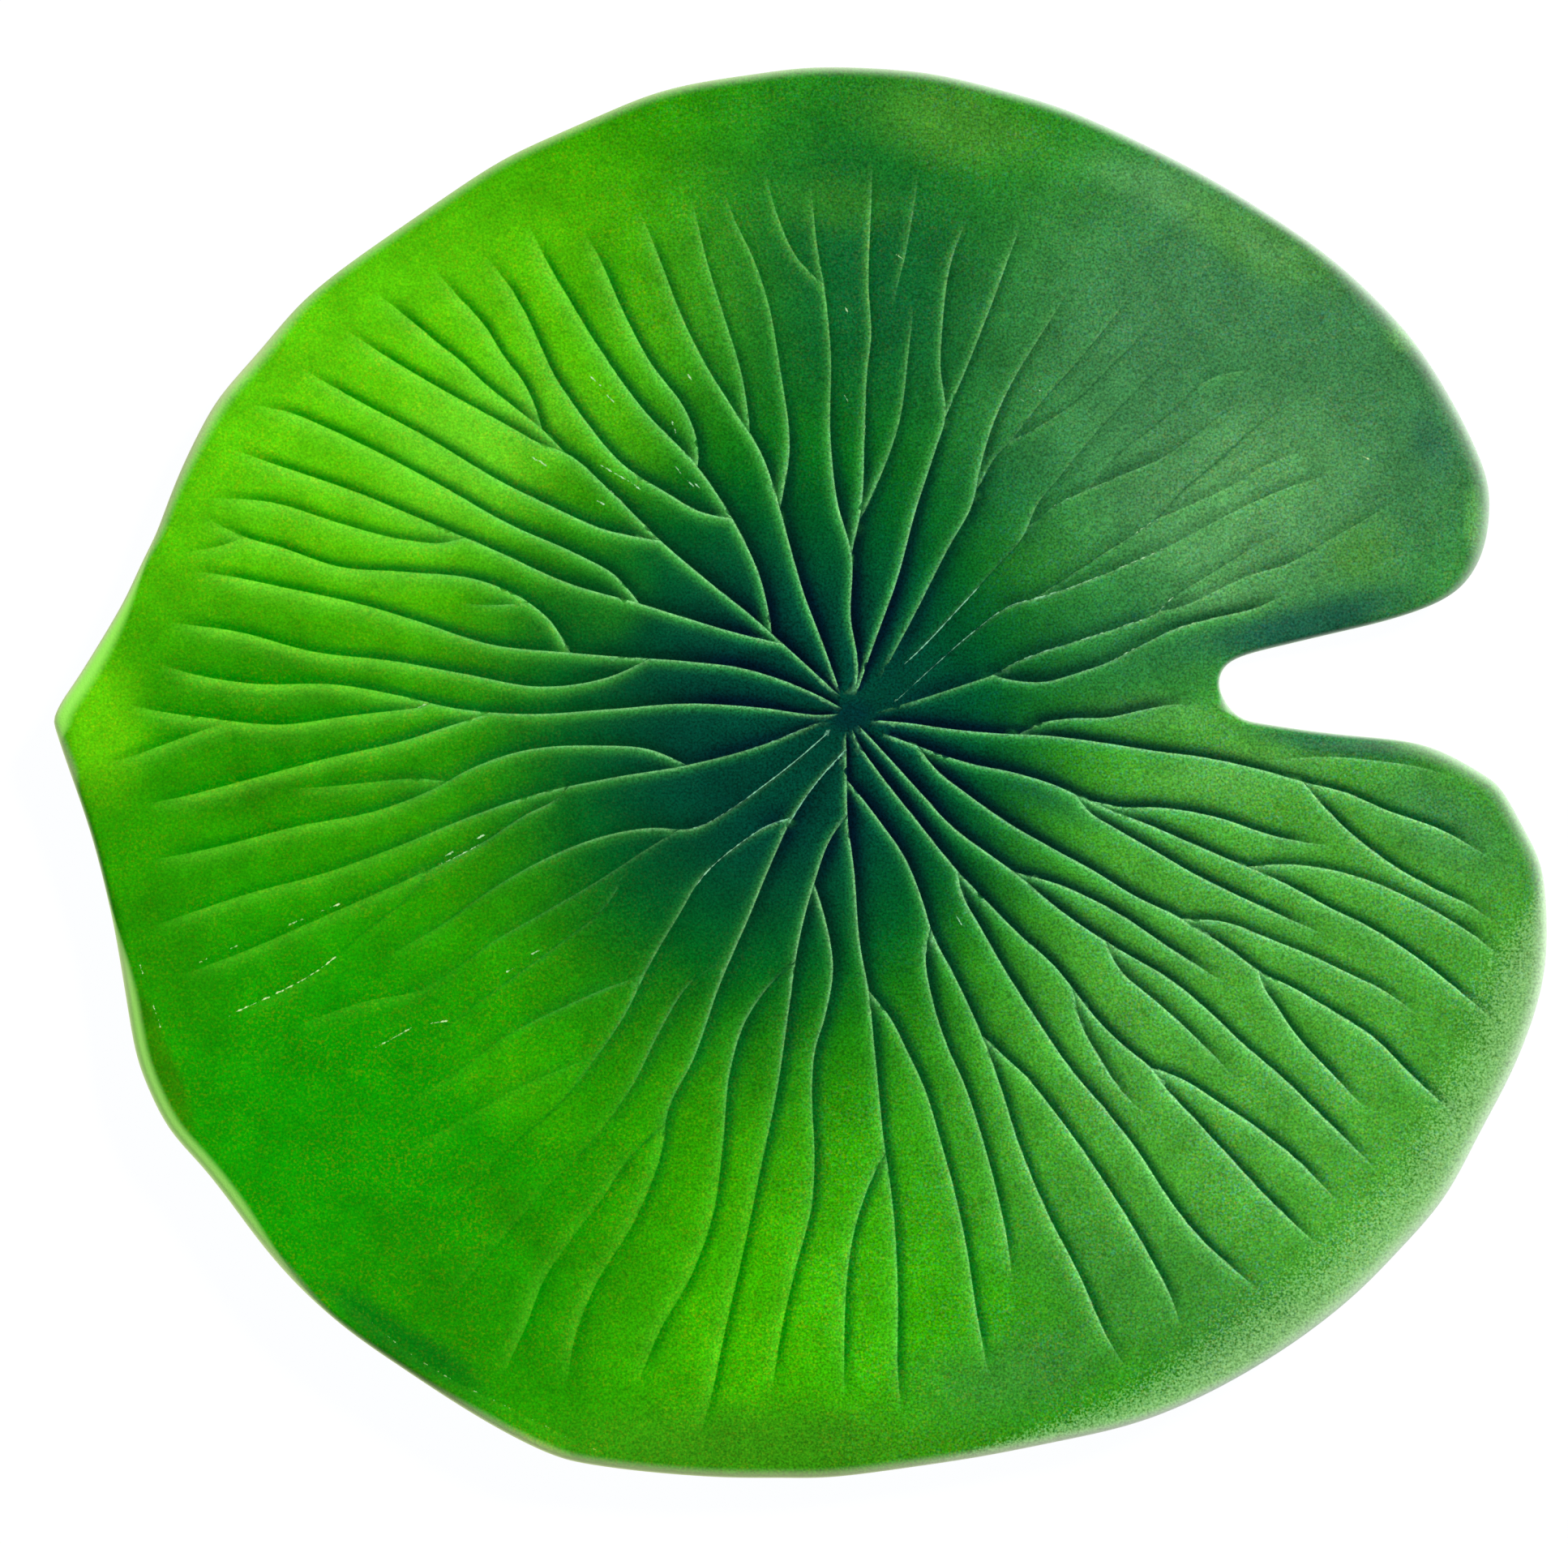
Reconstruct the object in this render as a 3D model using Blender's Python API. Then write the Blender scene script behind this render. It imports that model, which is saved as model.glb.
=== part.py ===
"""Lotus leaf for a pond or an aquarium: one sheet of soft green foam with its veins pressed in.

The leaf lies face up. Its origin is on the surface that it rests on, under the hub where the veins
meet. +X points from the hub into the notch, the tip lies at -X, and +Z is up.
"""

import math

import bpy
import numpy as np
from mathutils import Vector
from mathutils.geometry import delaunay_2d_cdt

# Driving dimensions, in metres
LEAF_LENGTH = 0.280
SHEET = 0.0036

# Dish: flat out to FLAT_RADIUS, then up by RISE at RISE_RADIUS, with WAVES waves of height WAVE
# round the rim
RISE = 0.008
WAVE = 0.0010
WAVES = 5
FLAT_RADIUS = 0.048
RISE_RADIUS = 0.142

# Rim: the top rounds over within ROLL of the outline, and over more at the tip and along the
# turned-down stretch at the lower left
ROLL = 0.0016
ROLL_FOLD = 0.0010
ROLL_TIP = 0.0012
FOLD_FROM_DEG = 197
FOLD_TO_DEG = 222
TIP_FROM_DEG = 166
TIP_TO_DEG = 182
RAMP_DEG = 7

# Height of the outermost edge over the underside, as a share of the sheet, how far the underside
# starts inside it, and where along the roll's width its middle loop of points runs
EDGE_HEIGHT = 0.42
FOLD_HEIGHT = 0.22
UNDERCUT = 0.0007
SHOULDER_SHARE = 0.35

# Veins: depth of the crease and the distance over which a pillow climbs away from it, at the hub
# and from FADE_RADIUS outwards. Creases fade out over the last TIP_FADE, and start HUB_FADE from
# the hub. A higher SOFTNESS keeps neighbouring creases more apart.
HUB_DEPTH = 0.00125
HUB_SPREAD = 0.0016
RIM_DEPTH = 0.00060
RIM_SPREAD = 0.0011
FADE_RADIUS = 0.095
TIP_FADE = 0.016
HUB_FADE = 0.003
SOFTNESS = 5

# The creases round this spot, in picture pixels, are pressed more lightly: up to this far from it,
# and by this share within half that distance
QUIET_PX = (1110, 240)
QUIET_REACH = 0.062
QUIET_SHARE = 0.42

# Spacing of the solid's points, the steps that the outline's curve is first read in, the least gap
# between two points, and how close the filling ones come to the placed ones, as a share of their
# own spacing
OUTLINE_POINTS = 250
CURVE_STEPS = 40
FLAT_EDGE_POINTS = 36
VEIN_STEP = 0.0080
SIDE_OFFSET = 0.0015
TOP_STEP = 0.011
UNDER_STEP = 0.016
LEAST_GAP = 0.0009
FILL_GAP = 0.42
MERGE = 1e-7

# Edges that turn more than this are shaded sharp
SHARP_DEG = 40

FOAM_COLOUR = (0.035, 0.26, 0.012)
FOAM_ROUGHNESS = 0.75

# The outline and the veins are read off a straight-down picture of the leaf, in its pixels with y
# down: the hub, and the length from the tip at the left to the far lobe at the right
HUB_PX = (1045, 880)
LENGTH_PX = 1841

# The outline, clockwise from the tip. The picture's edge is soft, and the leaf reaches this many
# pixels out beyond the points
BEYOND_PX = 2.5
OUTLINE_PX = (
    (70, 885), (82, 861), (95, 842), (121, 800), (155, 742), (174, 700), (193, 662), (206, 628),
    (225, 580), (252, 525), (278, 483), (325, 430), (373, 373), (434, 324), (496, 280), (556, 239),
    (619, 198), (683, 168), (745, 141), (804, 117), (866, 102), (935, 92), (1001, 84), (1088, 86),
    (1162, 94), (1242, 114), (1304, 132), (1367, 158), (1430, 188), (1493, 221), (1555, 259),
    (1616, 300), (1664, 339), (1705, 379), (1743, 422), (1779, 477), (1809, 533), (1832, 589),
    (1835, 631), (1829, 674), (1808, 715), (1770, 742), (1709, 763), (1646, 778), (1584, 793),
    (1541, 804), (1513, 818), (1504, 842), (1512, 866), (1532, 887), (1564, 895), (1645, 907),
    (1707, 913), (1769, 924), (1828, 957), (1853, 977), (1880, 1027), (1900, 1069), (1906, 1130),
    (1904, 1191), (1890, 1252), (1860, 1327), (1820, 1400), (1780, 1475), (1724, 1538), (1666, 1597),
    (1585, 1659), (1491, 1714), (1399, 1753), (1304, 1775), (1212, 1794), (1119, 1808), (1026, 1820),
    (964, 1820), (897, 1820), (804, 1813), (731, 1803), (682, 1791), (617, 1759), (554, 1721),
    (494, 1681), (432, 1638), (373, 1586), (326, 1534), (284, 1478), (248, 1433), (212, 1393),
    (187, 1345), (171, 1303), (162, 1258), (155, 1217), (144, 1153), (134, 1106), (120, 1048),
    (103, 993), (84, 938), (72, 900),
)

# Each vein is how it starts (at the hub, as a fork of another vein, or free), how strongly it is
# pressed compared with the main veins, and its points from its start outwards
VEINS_PX = {
    # West
    "w1": ("hub", 1.0, (
        (1036, 880), (1009, 881), (946, 873), (850, 867), (750, 874), (650, 880), (560, 873), (490, 857),
        (417, 844), (305, 842), (230, 829), (195, 818),
    )),
    "w1a": ("fork", 1.0, (
        (528, 871), (430, 882), (345, 893), (255, 885), (187, 875), (158, 868),
    )),
    "w1b": ("fork", 0.8, (
        (285, 890), (250, 900), (193, 921), (150, 936), (130, 940),
    )),
    "w1c": ("fork", 1.0, (
        (603, 879), (546, 897), (500, 912), (405, 934), (305, 961), (220, 983), (180, 991),
    )),
    "w2": ("hub", 1.0, (
        (1040, 874), (1032, 869), (978, 843), (914, 823), (850, 815), (750, 808), (702, 804), (605, 794),
        (510, 764), (450, 746), (350, 724), (270, 708), (237, 704),
    )),
    "w2a": ("fork", 1.0, (
        (800, 812), (750, 834), (665, 846), (575, 831), (480, 814), (385, 803), (290, 778), (208, 767),
    )),
    "w2b": ("fork", 1.0, (
        (702, 804), (678, 765), (648, 740), (595, 716), (496, 704), (417, 698), (345, 674), (302, 662),
        (250, 636),
    )),
    "w2c": ("fork", 0.7, (
        (302, 662), (273, 672), (225, 681),
    )),
    "w2d": ("fork", 0.6, (
        (652, 742), (595, 745), (565, 742),
    )),
    # North-west
    "nw1": ("hub", 1.0, (
        (1037, 858), (1000, 824), (966, 793), (930, 761), (880, 721), (815, 666), (750, 602),
        (697, 557), (665, 545), (625, 523), (550, 482), (475, 438), (425, 405),
    )),
    "nw1a": ("fork", 1.0, (
        (966, 793), (914, 781), (849, 762), (788, 743), (700, 718), (615, 680), (528, 643), (430, 603),
        (330, 569), (285, 553),
    )),
    "nw1b": ("fork", 0.9, (
        (572, 661), (546, 668), (500, 665), (417, 644), (335, 619), (257, 613),
    )),
    "nw1c": ("fork", 1.0, (
        (788, 742), (755, 706), (715, 684), (625, 644), (540, 596), (450, 549), (401, 526), (360, 509),
        (310, 498),
    )),
    "nw1d": ("fork", 1.0, (
        (813, 666), (737, 649), (690, 628), (600, 583), (546, 550), (500, 524), (452, 499), (410, 476),
        (370, 452),
    )),
    "nw1e": ("fork", 1.0, (
        (697, 557), (661, 522), (633, 500), (601, 475), (569, 445), (537, 420), (499, 388), (461, 358),
    )),
    "nw1f": ("fork", 1.0, (
        (668, 528), (660, 502), (645, 470), (622, 440), (597, 400), (565, 365), (535, 330),
    )),
    "nw1g": ("fork", 1.0, (
        (953, 779), (938, 712), (903, 638), (861, 575), (793, 503), (742, 433), (704, 372), (669, 311),
        (652, 275),
    )),
    "nw1h": ("fork", 1.0, (
        (903, 638), (865, 630), (820, 605), (770, 573), (727, 525), (704, 493), (682, 460), (666, 425),
        (650, 390), (628, 352), (597, 313),
    )),
    "nw1i": ("fork", 1.0, (
        (862, 572), (860, 545), (843, 500), (805, 450), (768, 382), (736, 311), (719, 283),
    )),
    # North
    "n1": ("hub", 1.0, (
        (1038, 856), (1017, 797), (991, 728), (972, 662), (962, 625), (938, 555), (905, 503),
        (867, 442), (838, 382), (816, 324), (789, 257),
    )),
    "n1a": ("fork", 1.0, (
        (926, 530), (915, 461), (892, 385), (873, 324), (853, 240),
    )),
    "n1b": ("fork", 1.0, (
        (963, 625), (974, 555), (962, 450), (947, 369), (927, 311), (908, 273), (894, 235),
    )),
    "n2": ("hub", 1.0, (
        (1056, 850), (1059, 832), (1050, 760), (1051, 682), (1034, 620), (1025, 540), (1025, 430),
        (1018, 358), (1009, 305), (1001, 228),
    )),
    "n2a": ("fork", 0.9, (
        (1014, 348), (985, 318), (960, 266), (944, 210),
    )),
    "n2b": ("fork", 1.0, (
        (1051, 682), (1063, 625), (1067, 540), (1071, 450), (1075, 418), (1072, 350), (1075, 255),
        (1077, 200),
    )),
    "n2c": ("fork", 0.8, (
        (1062, 640), (1083, 595), (1109, 523), (1122, 430), (1128, 375),
    )),
    "n2d": ("free", 0.5, (
        (1101, 380), (1109, 347), (1119, 305), (1127, 260), (1135, 208),
    )),
    "n3": ("hub", 1.0, (
        (1056, 858), (1080, 790), (1108, 712), (1130, 630), (1155, 553), (1167, 515), (1161, 450),
        (1163, 405), (1176, 315), (1194, 268),
    )),
    "n3a": ("fork", 0.9, (
        (1167, 513), (1190, 460), (1216, 395), (1244, 320), (1262, 270),
    )),
    # North-east, pressed lightly
    "ne1": ("free", 0.8, (
        (1086, 837), (1126, 763), (1168, 680), (1203, 613), (1209, 582), (1225, 525), (1258, 455),
        (1280, 420), (1319, 358),
    )),
    "ne1a": ("fork", 0.7, (
        (1207, 603), (1229, 563), (1250, 540), (1282, 499), (1323, 453), (1372, 394), (1401, 356),
    )),
    "ne1b": ("fork", 0.6, (
        (1250, 540), (1282, 524), (1326, 495), (1371, 451), (1433, 391),
    )),
    "ne2": ("free", 0.5, (
        (1092, 840), (1137, 799), (1182, 751), (1226, 703), (1265, 658), (1280, 623), (1310, 585),
        (1352, 534), (1397, 486), (1435, 449), (1475, 413),
    )),
    "ne2a": ("fork", 0.5, (
        (1272, 648), (1296, 626), (1346, 601), (1390, 582), (1429, 566), (1470, 539), (1505, 513),
        (1543, 489),
    )),
    "ne2b": ("fork", 0.4, (
        (1346, 601), (1377, 562), (1422, 527), (1457, 497), (1487, 469), (1550, 452),
    )),
    "ne3": ("free", 0.5, (
        (1108, 862), (1156, 818), (1201, 779), (1252, 744), (1275, 738), (1320, 724), (1371, 704),
        (1425, 681), (1457, 665), (1492, 646), (1543, 620), (1598, 597), (1647, 583),
    )),
    "ne3a": ("fork", 0.6, (
        (1275, 738), (1314, 713), (1355, 686), (1409, 652), (1430, 637), (1457, 607), (1492, 578),
        (1550, 527), (1601, 491),
    )),
    "ne3b": ("fork", 0.4, (
        (1428, 639), (1470, 621), (1521, 597), (1563, 572), (1620, 551),
    )),
    "ne4": ("free", 0.6, (
        (1080, 878), (1137, 861), (1201, 840), (1225, 832), (1250, 818), (1288, 803), (1339, 787),
        (1390, 770), (1429, 755), (1448, 736), (1486, 712), (1521, 690), (1562, 665), (1588, 652),
    )),
    "ne4a": ("fork", 0.5, (
        (1432, 753), (1467, 744), (1502, 727), (1539, 710), (1595, 692), (1635, 668), (1691, 636),
        (1720, 616), (1740, 600),
    )),
    "ne4b": ("fork", 0.8, (
        (1225, 832), (1250, 838), (1290, 840), (1328, 830), (1371, 815), (1409, 795), (1448, 776),
        (1499, 761), (1547, 750), (1598, 726),
    )),
    "ne4c": ("free", 0.3, (
        (1695, 697), (1728, 684), (1749, 673),
    )),
    # East
    "e1": ("hub", 1.0, (
        (1074, 887), (1086, 888), (1121, 891), (1169, 898), (1233, 904), (1296, 907), (1365, 916),
        (1429, 926), (1489, 934), (1553, 948), (1610, 964), (1661, 977), (1715, 1000),
        (1777, 1022), (1839, 1057),
    )),
    "e1a": ("fork", 1.0, (
        (1610, 964), (1632, 991), (1675, 1033), (1725, 1070), (1775, 1098), (1817, 1118), (1842, 1136),
    )),
    "e1b": ("fork", 0.9, (
        (1259, 906), (1277, 894), (1315, 886), (1370, 884), (1415, 874), (1458, 868), (1480, 871),
    )),
    # South-east
    "se1": ("hub", 1.0, (
        (1089, 903), (1131, 919), (1201, 942), (1250, 952), (1305, 969), (1340, 985), (1378, 994),
        (1435, 996), (1511, 1010), (1563, 1028), (1613, 1039), (1645, 1043),
    )),
    "se1a": ("fork", 1.0, (
        (1343, 987), (1377, 1001), (1416, 1016), (1467, 1038), (1518, 1060), (1562, 1078),
        (1601, 1097), (1639, 1118), (1690, 1143), (1741, 1175), (1802, 1223), (1845, 1260),
    )),
    "se1b": ("fork", 0.9, (
        (1540, 1069), (1588, 1066), (1645, 1073), (1696, 1088), (1747, 1111), (1808, 1146),
        (1857, 1183),
    )),
    "se1c": ("fork", 1.0, (
        (1329, 980), (1343, 999), (1377, 1021), (1429, 1051), (1479, 1080), (1530, 1105), (1582, 1129),
        (1635, 1152),
    )),
    "se2": ("fork", 1.0, (
        (1133, 920), (1156, 949), (1194, 979), (1242, 1013), (1301, 1047), (1352, 1075), (1403, 1106),
        (1454, 1131), (1480, 1147), (1524, 1175), (1556, 1199), (1594, 1217), (1645, 1247),
        (1696, 1280), (1746, 1330), (1799, 1378),
    )),
    "se2a": ("fork", 0.9, (
        (1460, 1134), (1511, 1137), (1562, 1156), (1613, 1176), (1664, 1200), (1715, 1226),
        (1750, 1252),
    )),
    "se2b": ("fork", 1.0, (
        (1555, 1198), (1559, 1214), (1575, 1240), (1604, 1281), (1645, 1325), (1688, 1371),
    )),
    "se3": ("hub", 1.0, (
        (1058, 893), (1068, 903), (1099, 936), (1137, 978), (1175, 1019), (1226, 1057),
        (1255, 1078), (1295, 1112), (1346, 1149), (1388, 1175), (1438, 1204), (1483, 1239),
        (1534, 1287), (1585, 1331), (1638, 1383), (1696, 1440),
    )),
    "se3a": ("fork", 1.0, (
        (1253, 1076), (1295, 1087), (1346, 1108), (1397, 1137), (1448, 1172), (1499, 1204),
        (1515, 1214),
    )),
    "se3b": ("fork", 0.9, (
        (1366, 1162), (1373, 1180), (1390, 1205), (1416, 1226), (1467, 1271), (1505, 1309),
        (1524, 1329),
    )),
    "se4": ("hub", 1.0, (
        (1051, 898), (1057, 911), (1089, 958), (1127, 1006), (1182, 1074), (1217, 1111),
        (1265, 1159), (1301, 1191), (1325, 1220), (1346, 1248), (1387, 1290), (1422, 1319),
        (1438, 1341), (1477, 1383), (1521, 1431), (1559, 1472), (1598, 1510), (1631, 1540),
    )),
    "se4a": ("fork", 1.0, (
        (1422, 1318), (1454, 1329), (1505, 1360), (1556, 1395), (1604, 1434), (1653, 1484),
    )),
    "se4b": ("fork", 0.9, (
        (1325, 1220), (1333, 1258), (1356, 1303), (1388, 1350), (1414, 1375),
    )),
    "se5": ("fork", 1.0, (
        (1182, 1074), (1188, 1102), (1210, 1143), (1247, 1207), (1286, 1267), (1324, 1322),
        (1365, 1370), (1407, 1424), (1442, 1478), (1477, 1523), (1521, 1564), (1556, 1593),
    )),
    # South
    "s1": ("hub", 1.0, (
        (1044, 901), (1045, 952), (1046, 1008), (1054, 1073), (1062, 1169), (1072, 1223), (1078, 1280),
        (1085, 1351), (1091, 1410), (1095, 1436), (1104, 1510), (1108, 1597), (1108, 1695),
        (1112, 1746),
    )),
    "s1a": ("fork", 1.0, (
        (1046, 962), (1083, 1009), (1118, 1060), (1140, 1115), (1152, 1154), (1175, 1198),
        (1201, 1252), (1217, 1290), (1236, 1343), (1257, 1410), (1293, 1497), (1332, 1573),
        (1367, 1651), (1387, 1683),
    )),
    "s1b": ("fork", 1.0, (
        (1213, 1278), (1239, 1303), (1265, 1327), (1290, 1357), (1330, 1410), (1365, 1461),
        (1397, 1512), (1426, 1563), (1449, 1610), (1456, 1635),
    )),
    "s1c": ("fork", 1.0, (
        (1149, 1145), (1143, 1175), (1151, 1233), (1169, 1290), (1190, 1337), (1211, 1400),
        (1234, 1486), (1246, 1549), (1249, 1584),
    )),
    "s1d": ("fork", 1.0, (
        (1091, 1425), (1075, 1458), (1055, 1517), (1046, 1570), (1042, 1648), (1042, 1729),
    )),
    "s1e": ("fork", 1.0, (
        (1072, 1223), (1096, 1252), (1121, 1300), (1139, 1338), (1161, 1408), (1180, 1478),
        (1194, 1545), (1204, 1611), (1221, 1702),
    )),
    "s2": ("fork", 1.0, (
        (1046, 1005), (1025, 1035), (1006, 1086), (987, 1156), (973, 1249), (958, 1350), (940, 1435),
        (917, 1545), (895, 1640), (873, 1740), (863, 1772),
    )),
    "s2a": ("fork", 1.0, (
        (1005, 1090), (1019, 1137), (1028, 1194), (1019, 1252), (1005, 1300), (1002, 1341),
        (1005, 1434), (1002, 1485), (981, 1568), (963, 1648), (951, 1729),
    )),
    "s2b": ("fork", 1.0, (
        (981, 1186), (950, 1216), (920, 1260), (900, 1325), (892, 1410), (878, 1505), (850, 1580),
        (815, 1640), (786, 1710),
    )),
    # South-west
    "sw1": ("fork", 0.9, (
        (1044, 924), (1013, 958), (978, 1008), (955, 1057), (923, 1134), (888, 1215), (855, 1308),
        (823, 1373), (816, 1420), (801, 1466), (772, 1526), (737, 1581), (711, 1644), (699, 1712),
    )),
    "sw1a": ("fork", 0.9, (
        (818, 1388), (775, 1431), (743, 1479), (708, 1525), (672, 1577), (649, 1635), (619, 1700),
    )),
    "sw1b": ("fork", 0.7, (
        (978, 1008), (950, 1017), (912, 1041), (866, 1082), (838, 1128), (803, 1187), (769, 1255),
        (737, 1303), (705, 1345), (625, 1420), (558, 1486), (485, 1549),
    )),
    "sw1c": ("free", 0.7, (
        (893, 1180), (850, 1215), (815, 1270), (780, 1340), (735, 1403), (675, 1466), (620, 1528),
        (565, 1592), (549, 1616),
    )),
    "sw2": ("hub", 0.7, (
        (1022, 903), (984, 936), (939, 971), (910, 992), (853, 1022), (801, 1021), (737, 1033),
        (680, 1055), (603, 1098), (546, 1139), (466, 1184),
    )),
    "sw2a": ("fork", 0.5, (
        (836, 1023), (794, 1049), (737, 1086), (667, 1127), (603, 1164), (555, 1199), (514, 1222),
        (450, 1235), (353, 1269),
    )),
    "sw2b": ("fork", 0.4, (
        (549, 1203), (512, 1238), (450, 1277),
    )),
    "sw2c": ("free", 0.5, (
        (772, 1076), (748, 1117), (700, 1156), (640, 1200), (575, 1247), (505, 1300),
    )),
    "sw2d": ("free", 0.5, (
        (793, 1203), (750, 1218), (699, 1240), (625, 1277), (565, 1320), (490, 1365),
    )),
    "sw2e": ("free", 0.4, (
        (735, 1303), (692, 1319), (641, 1341), (562, 1385), (504, 1418), (476, 1441),
    )),
    "sw2f": ("free", 0.3, (
        (356, 1280), (305, 1306), (273, 1325),
    )),
    "sw3": ("hub", 0.8, (
        (1015, 888), (950, 915), (848, 943), (753, 959), (657, 980), (578, 1007), (498, 1040),
        (401, 1076), (305, 1102), (187, 1142),
    )),
    "sw3a": ("fork", 0.9, (
        (848, 943), (801, 924), (737, 919), (641, 926), (578, 948), (530, 974), (465, 999),
        (369, 1018), (241, 1050), (185, 1060),
    )),
    "sw3b": ("fork", 0.6, (
        (550, 963), (514, 960), (450, 965), (385, 971), (350, 972),
    )),
    "sw3c": ("fork", 0.9, (
        (700, 970), (686, 984), (648, 1004), (584, 1045), (498, 1086), (401, 1129), (305, 1171),
        (222, 1203),
    )),
    "sw3d": ("fork", 0.7, (
        (530, 1072), (496, 1112), (450, 1148), (382, 1203), (347, 1222), (286, 1250),
    )),
    # Beside the rim
    "seam": ("free", 0.15, (
        (396, 1581), (446, 1618), (507, 1668), (557, 1699), (619, 1730), (668, 1755), (743, 1789),
        (760, 1793),
    )),
    "lobe": ("free", 0.4, (
        (1560, 938), (1605, 934), (1650, 933), (1700, 938), (1750, 945), (1800, 960),
    )),
}


def to_leaf(points):
    """Picture pixels as metres from the hub, with Y up."""
    scale = LEAF_LENGTH / LENGTH_PX
    return (np.array(points, float) - HUB_PX) * (scale, -scale)


def travelled(points):
    """The distance from the first point to each point, along the line."""
    steps = np.linalg.norm(np.diff(points, axis=0), axis=1)
    return np.append(0, np.cumsum(steps))


def curve_through(points, at):
    """A cubic curve through the points, read at the given distances along them."""
    knots = travelled(points)
    slopes = np.gradient(points, knots, axis=0)
    first = np.clip(np.searchsorted(knots, at, side="right") - 1, 0, len(knots) - 2)
    span = (knots[first + 1] - knots[first])[:, None]
    u = ((at - knots[first]) / span[:, 0])[:, None]
    start_share = (1 + 2 * u) * (1 - u) ** 2
    start_slope = u * (1 - u) ** 2 * span
    end_share = u**2 * (3 - 2 * u)
    end_slope = u**2 * (u - 1) * span
    return (
        start_share * points[first]
        + start_slope * slopes[first]
        + end_share * points[first + 1]
        + end_slope * slopes[first + 1]
    )


def open_curve(points, step):
    """Points about a step apart on a cubic curve through the given ones."""
    length = travelled(points)[-1]
    return curve_through(points, np.linspace(0, length, math.ceil(length / step) + 1))


def closed_curve(points, count):
    """Evenly spaced points on a closed cubic B-spline that passes close by the given ones."""
    points = points - (np.roll(points, 1, axis=0) - 2 * points + np.roll(points, -1, axis=0)) / 6
    at = np.linspace(0, len(points), CURVE_STEPS * len(points), endpoint=False)
    first = at.astype(int)
    u = at - first
    shares = ((1 - u) ** 3, 3 * u**3 - 6 * u**2 + 4, 3 * (u + u**2 - u**3) + 1, u**3)
    curve = np.zeros((len(at), 2))
    for number, share in enumerate(shares):
        curve += share[:, None] / 6 * points[(first + number - 1) % len(points)]
    knots = travelled(np.vstack([curve, curve[:1]]))
    even = np.linspace(0, knots[-1], count, endpoint=False)
    return np.column_stack([np.interp(even, knots[:-1], curve[:, axis]) for axis in (0, 1)])


def distance_to_line(points, line):
    """Each point's distance to the line, and how far along the line its nearest place is."""
    starts = line[:-1]
    runs = np.diff(line, axis=0)
    lengths = np.linalg.norm(runs, axis=1)
    to_points = points[:, None] - starts[None]
    share = np.clip((to_points * runs).sum(2) / lengths**2, 0, 1)
    gaps = np.linalg.norm(to_points - share[..., None] * runs, axis=2)
    nearest = gaps.argmin(1)
    row = np.arange(len(points))
    along = travelled(line)[nearest] + share[row, nearest] * lengths[nearest]
    return gaps[row, nearest], along


def smooth_step(value):
    held = np.clip(value, 0, 1)
    return held * held * (3 - 2 * held)


def between(degrees, low, high):
    """One inside a stretch of the rim, falling to nothing over RAMP_DEG beyond its ends."""
    return smooth_step((degrees - low) / RAMP_DEG + 1) * smooth_step((high - degrees) / RAMP_DEG + 1)


def bearing(points):
    """Degrees round the hub from +X, anticlockwise, from 0 to 360."""
    return np.degrees(np.arctan2(points[:, 1], points[:, 0])) % 360


def underside(points):
    """Height of the lower face: flat in the middle, then a shallow dish with a wavy rim."""
    out = np.hypot(points[:, 0], points[:, 1])
    share = np.clip((out - FLAT_RADIUS) / (RISE_RADIUS - FLAT_RADIUS), 0, None)
    waves = WAVE * np.sin(np.radians(bearing(points)) * WAVES)
    return (RISE + waves) * share**2


def roll_width(points):
    """How far in from the outline the top starts to round over."""
    degrees = bearing(points)
    fold = between(degrees, FOLD_FROM_DEG, FOLD_TO_DEG)
    tip = between(degrees, TIP_FROM_DEG, TIP_TO_DEG)
    return ROLL + ROLL_FOLD * fold + ROLL_TIP * tip


def rolled_height(points, share):
    """Height over the underside at a share of the roll's width: 0 on the outline, 1 on the top."""
    fold = between(bearing(points), FOLD_FROM_DEG, FOLD_TO_DEG)
    edge = EDGE_HEIGHT + (FOLD_HEIGHT - EDGE_HEIGHT) * fold
    return SHEET * (edge + (1 - edge) * np.sqrt(1 - (1 - share) ** 2))


def vein_depth(points, veins):
    """How far the pressed veins lower the top at each point."""
    total = np.zeros(len(points))
    for start, strength, line in veins:
        gap, along = distance_to_line(points, line)
        length = travelled(line)[-1]
        place = curve_through(line, along)
        out = np.clip(np.hypot(place[:, 0], place[:, 1]) / FADE_RADIUS, 0, 1)
        away = np.linalg.norm(place - to_leaf(QUIET_PX), axis=1)
        quiet = 1 - QUIET_SHARE * smooth_step(2 - 2 * away / QUIET_REACH)
        depth = strength * quiet * (HUB_DEPTH + (RIM_DEPTH - HUB_DEPTH) * out)
        spread = HUB_SPREAD + (RIM_SPREAD - HUB_SPREAD) * out
        depth = depth * np.clip((length - along) / TIP_FADE, 0, 1)
        if start == "hub":
            depth = depth * np.clip(along / HUB_FADE, 0, 1)
        if start == "free":
            depth = depth * np.clip(along / TIP_FADE, 0, 1)
        total += (depth * np.exp(-gap / spread)) ** SOFTNESS
    return total ** (1 / SOFTNESS)


def inward(outline):
    """The unit normal of a clockwise outline at each point, towards the leaf."""
    run = np.roll(outline, -1, axis=0) - np.roll(outline, 1, axis=0)
    run /= np.linalg.norm(run, axis=1)[:, None]
    return np.column_stack([run[:, 1], -run[:, 0]])


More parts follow.
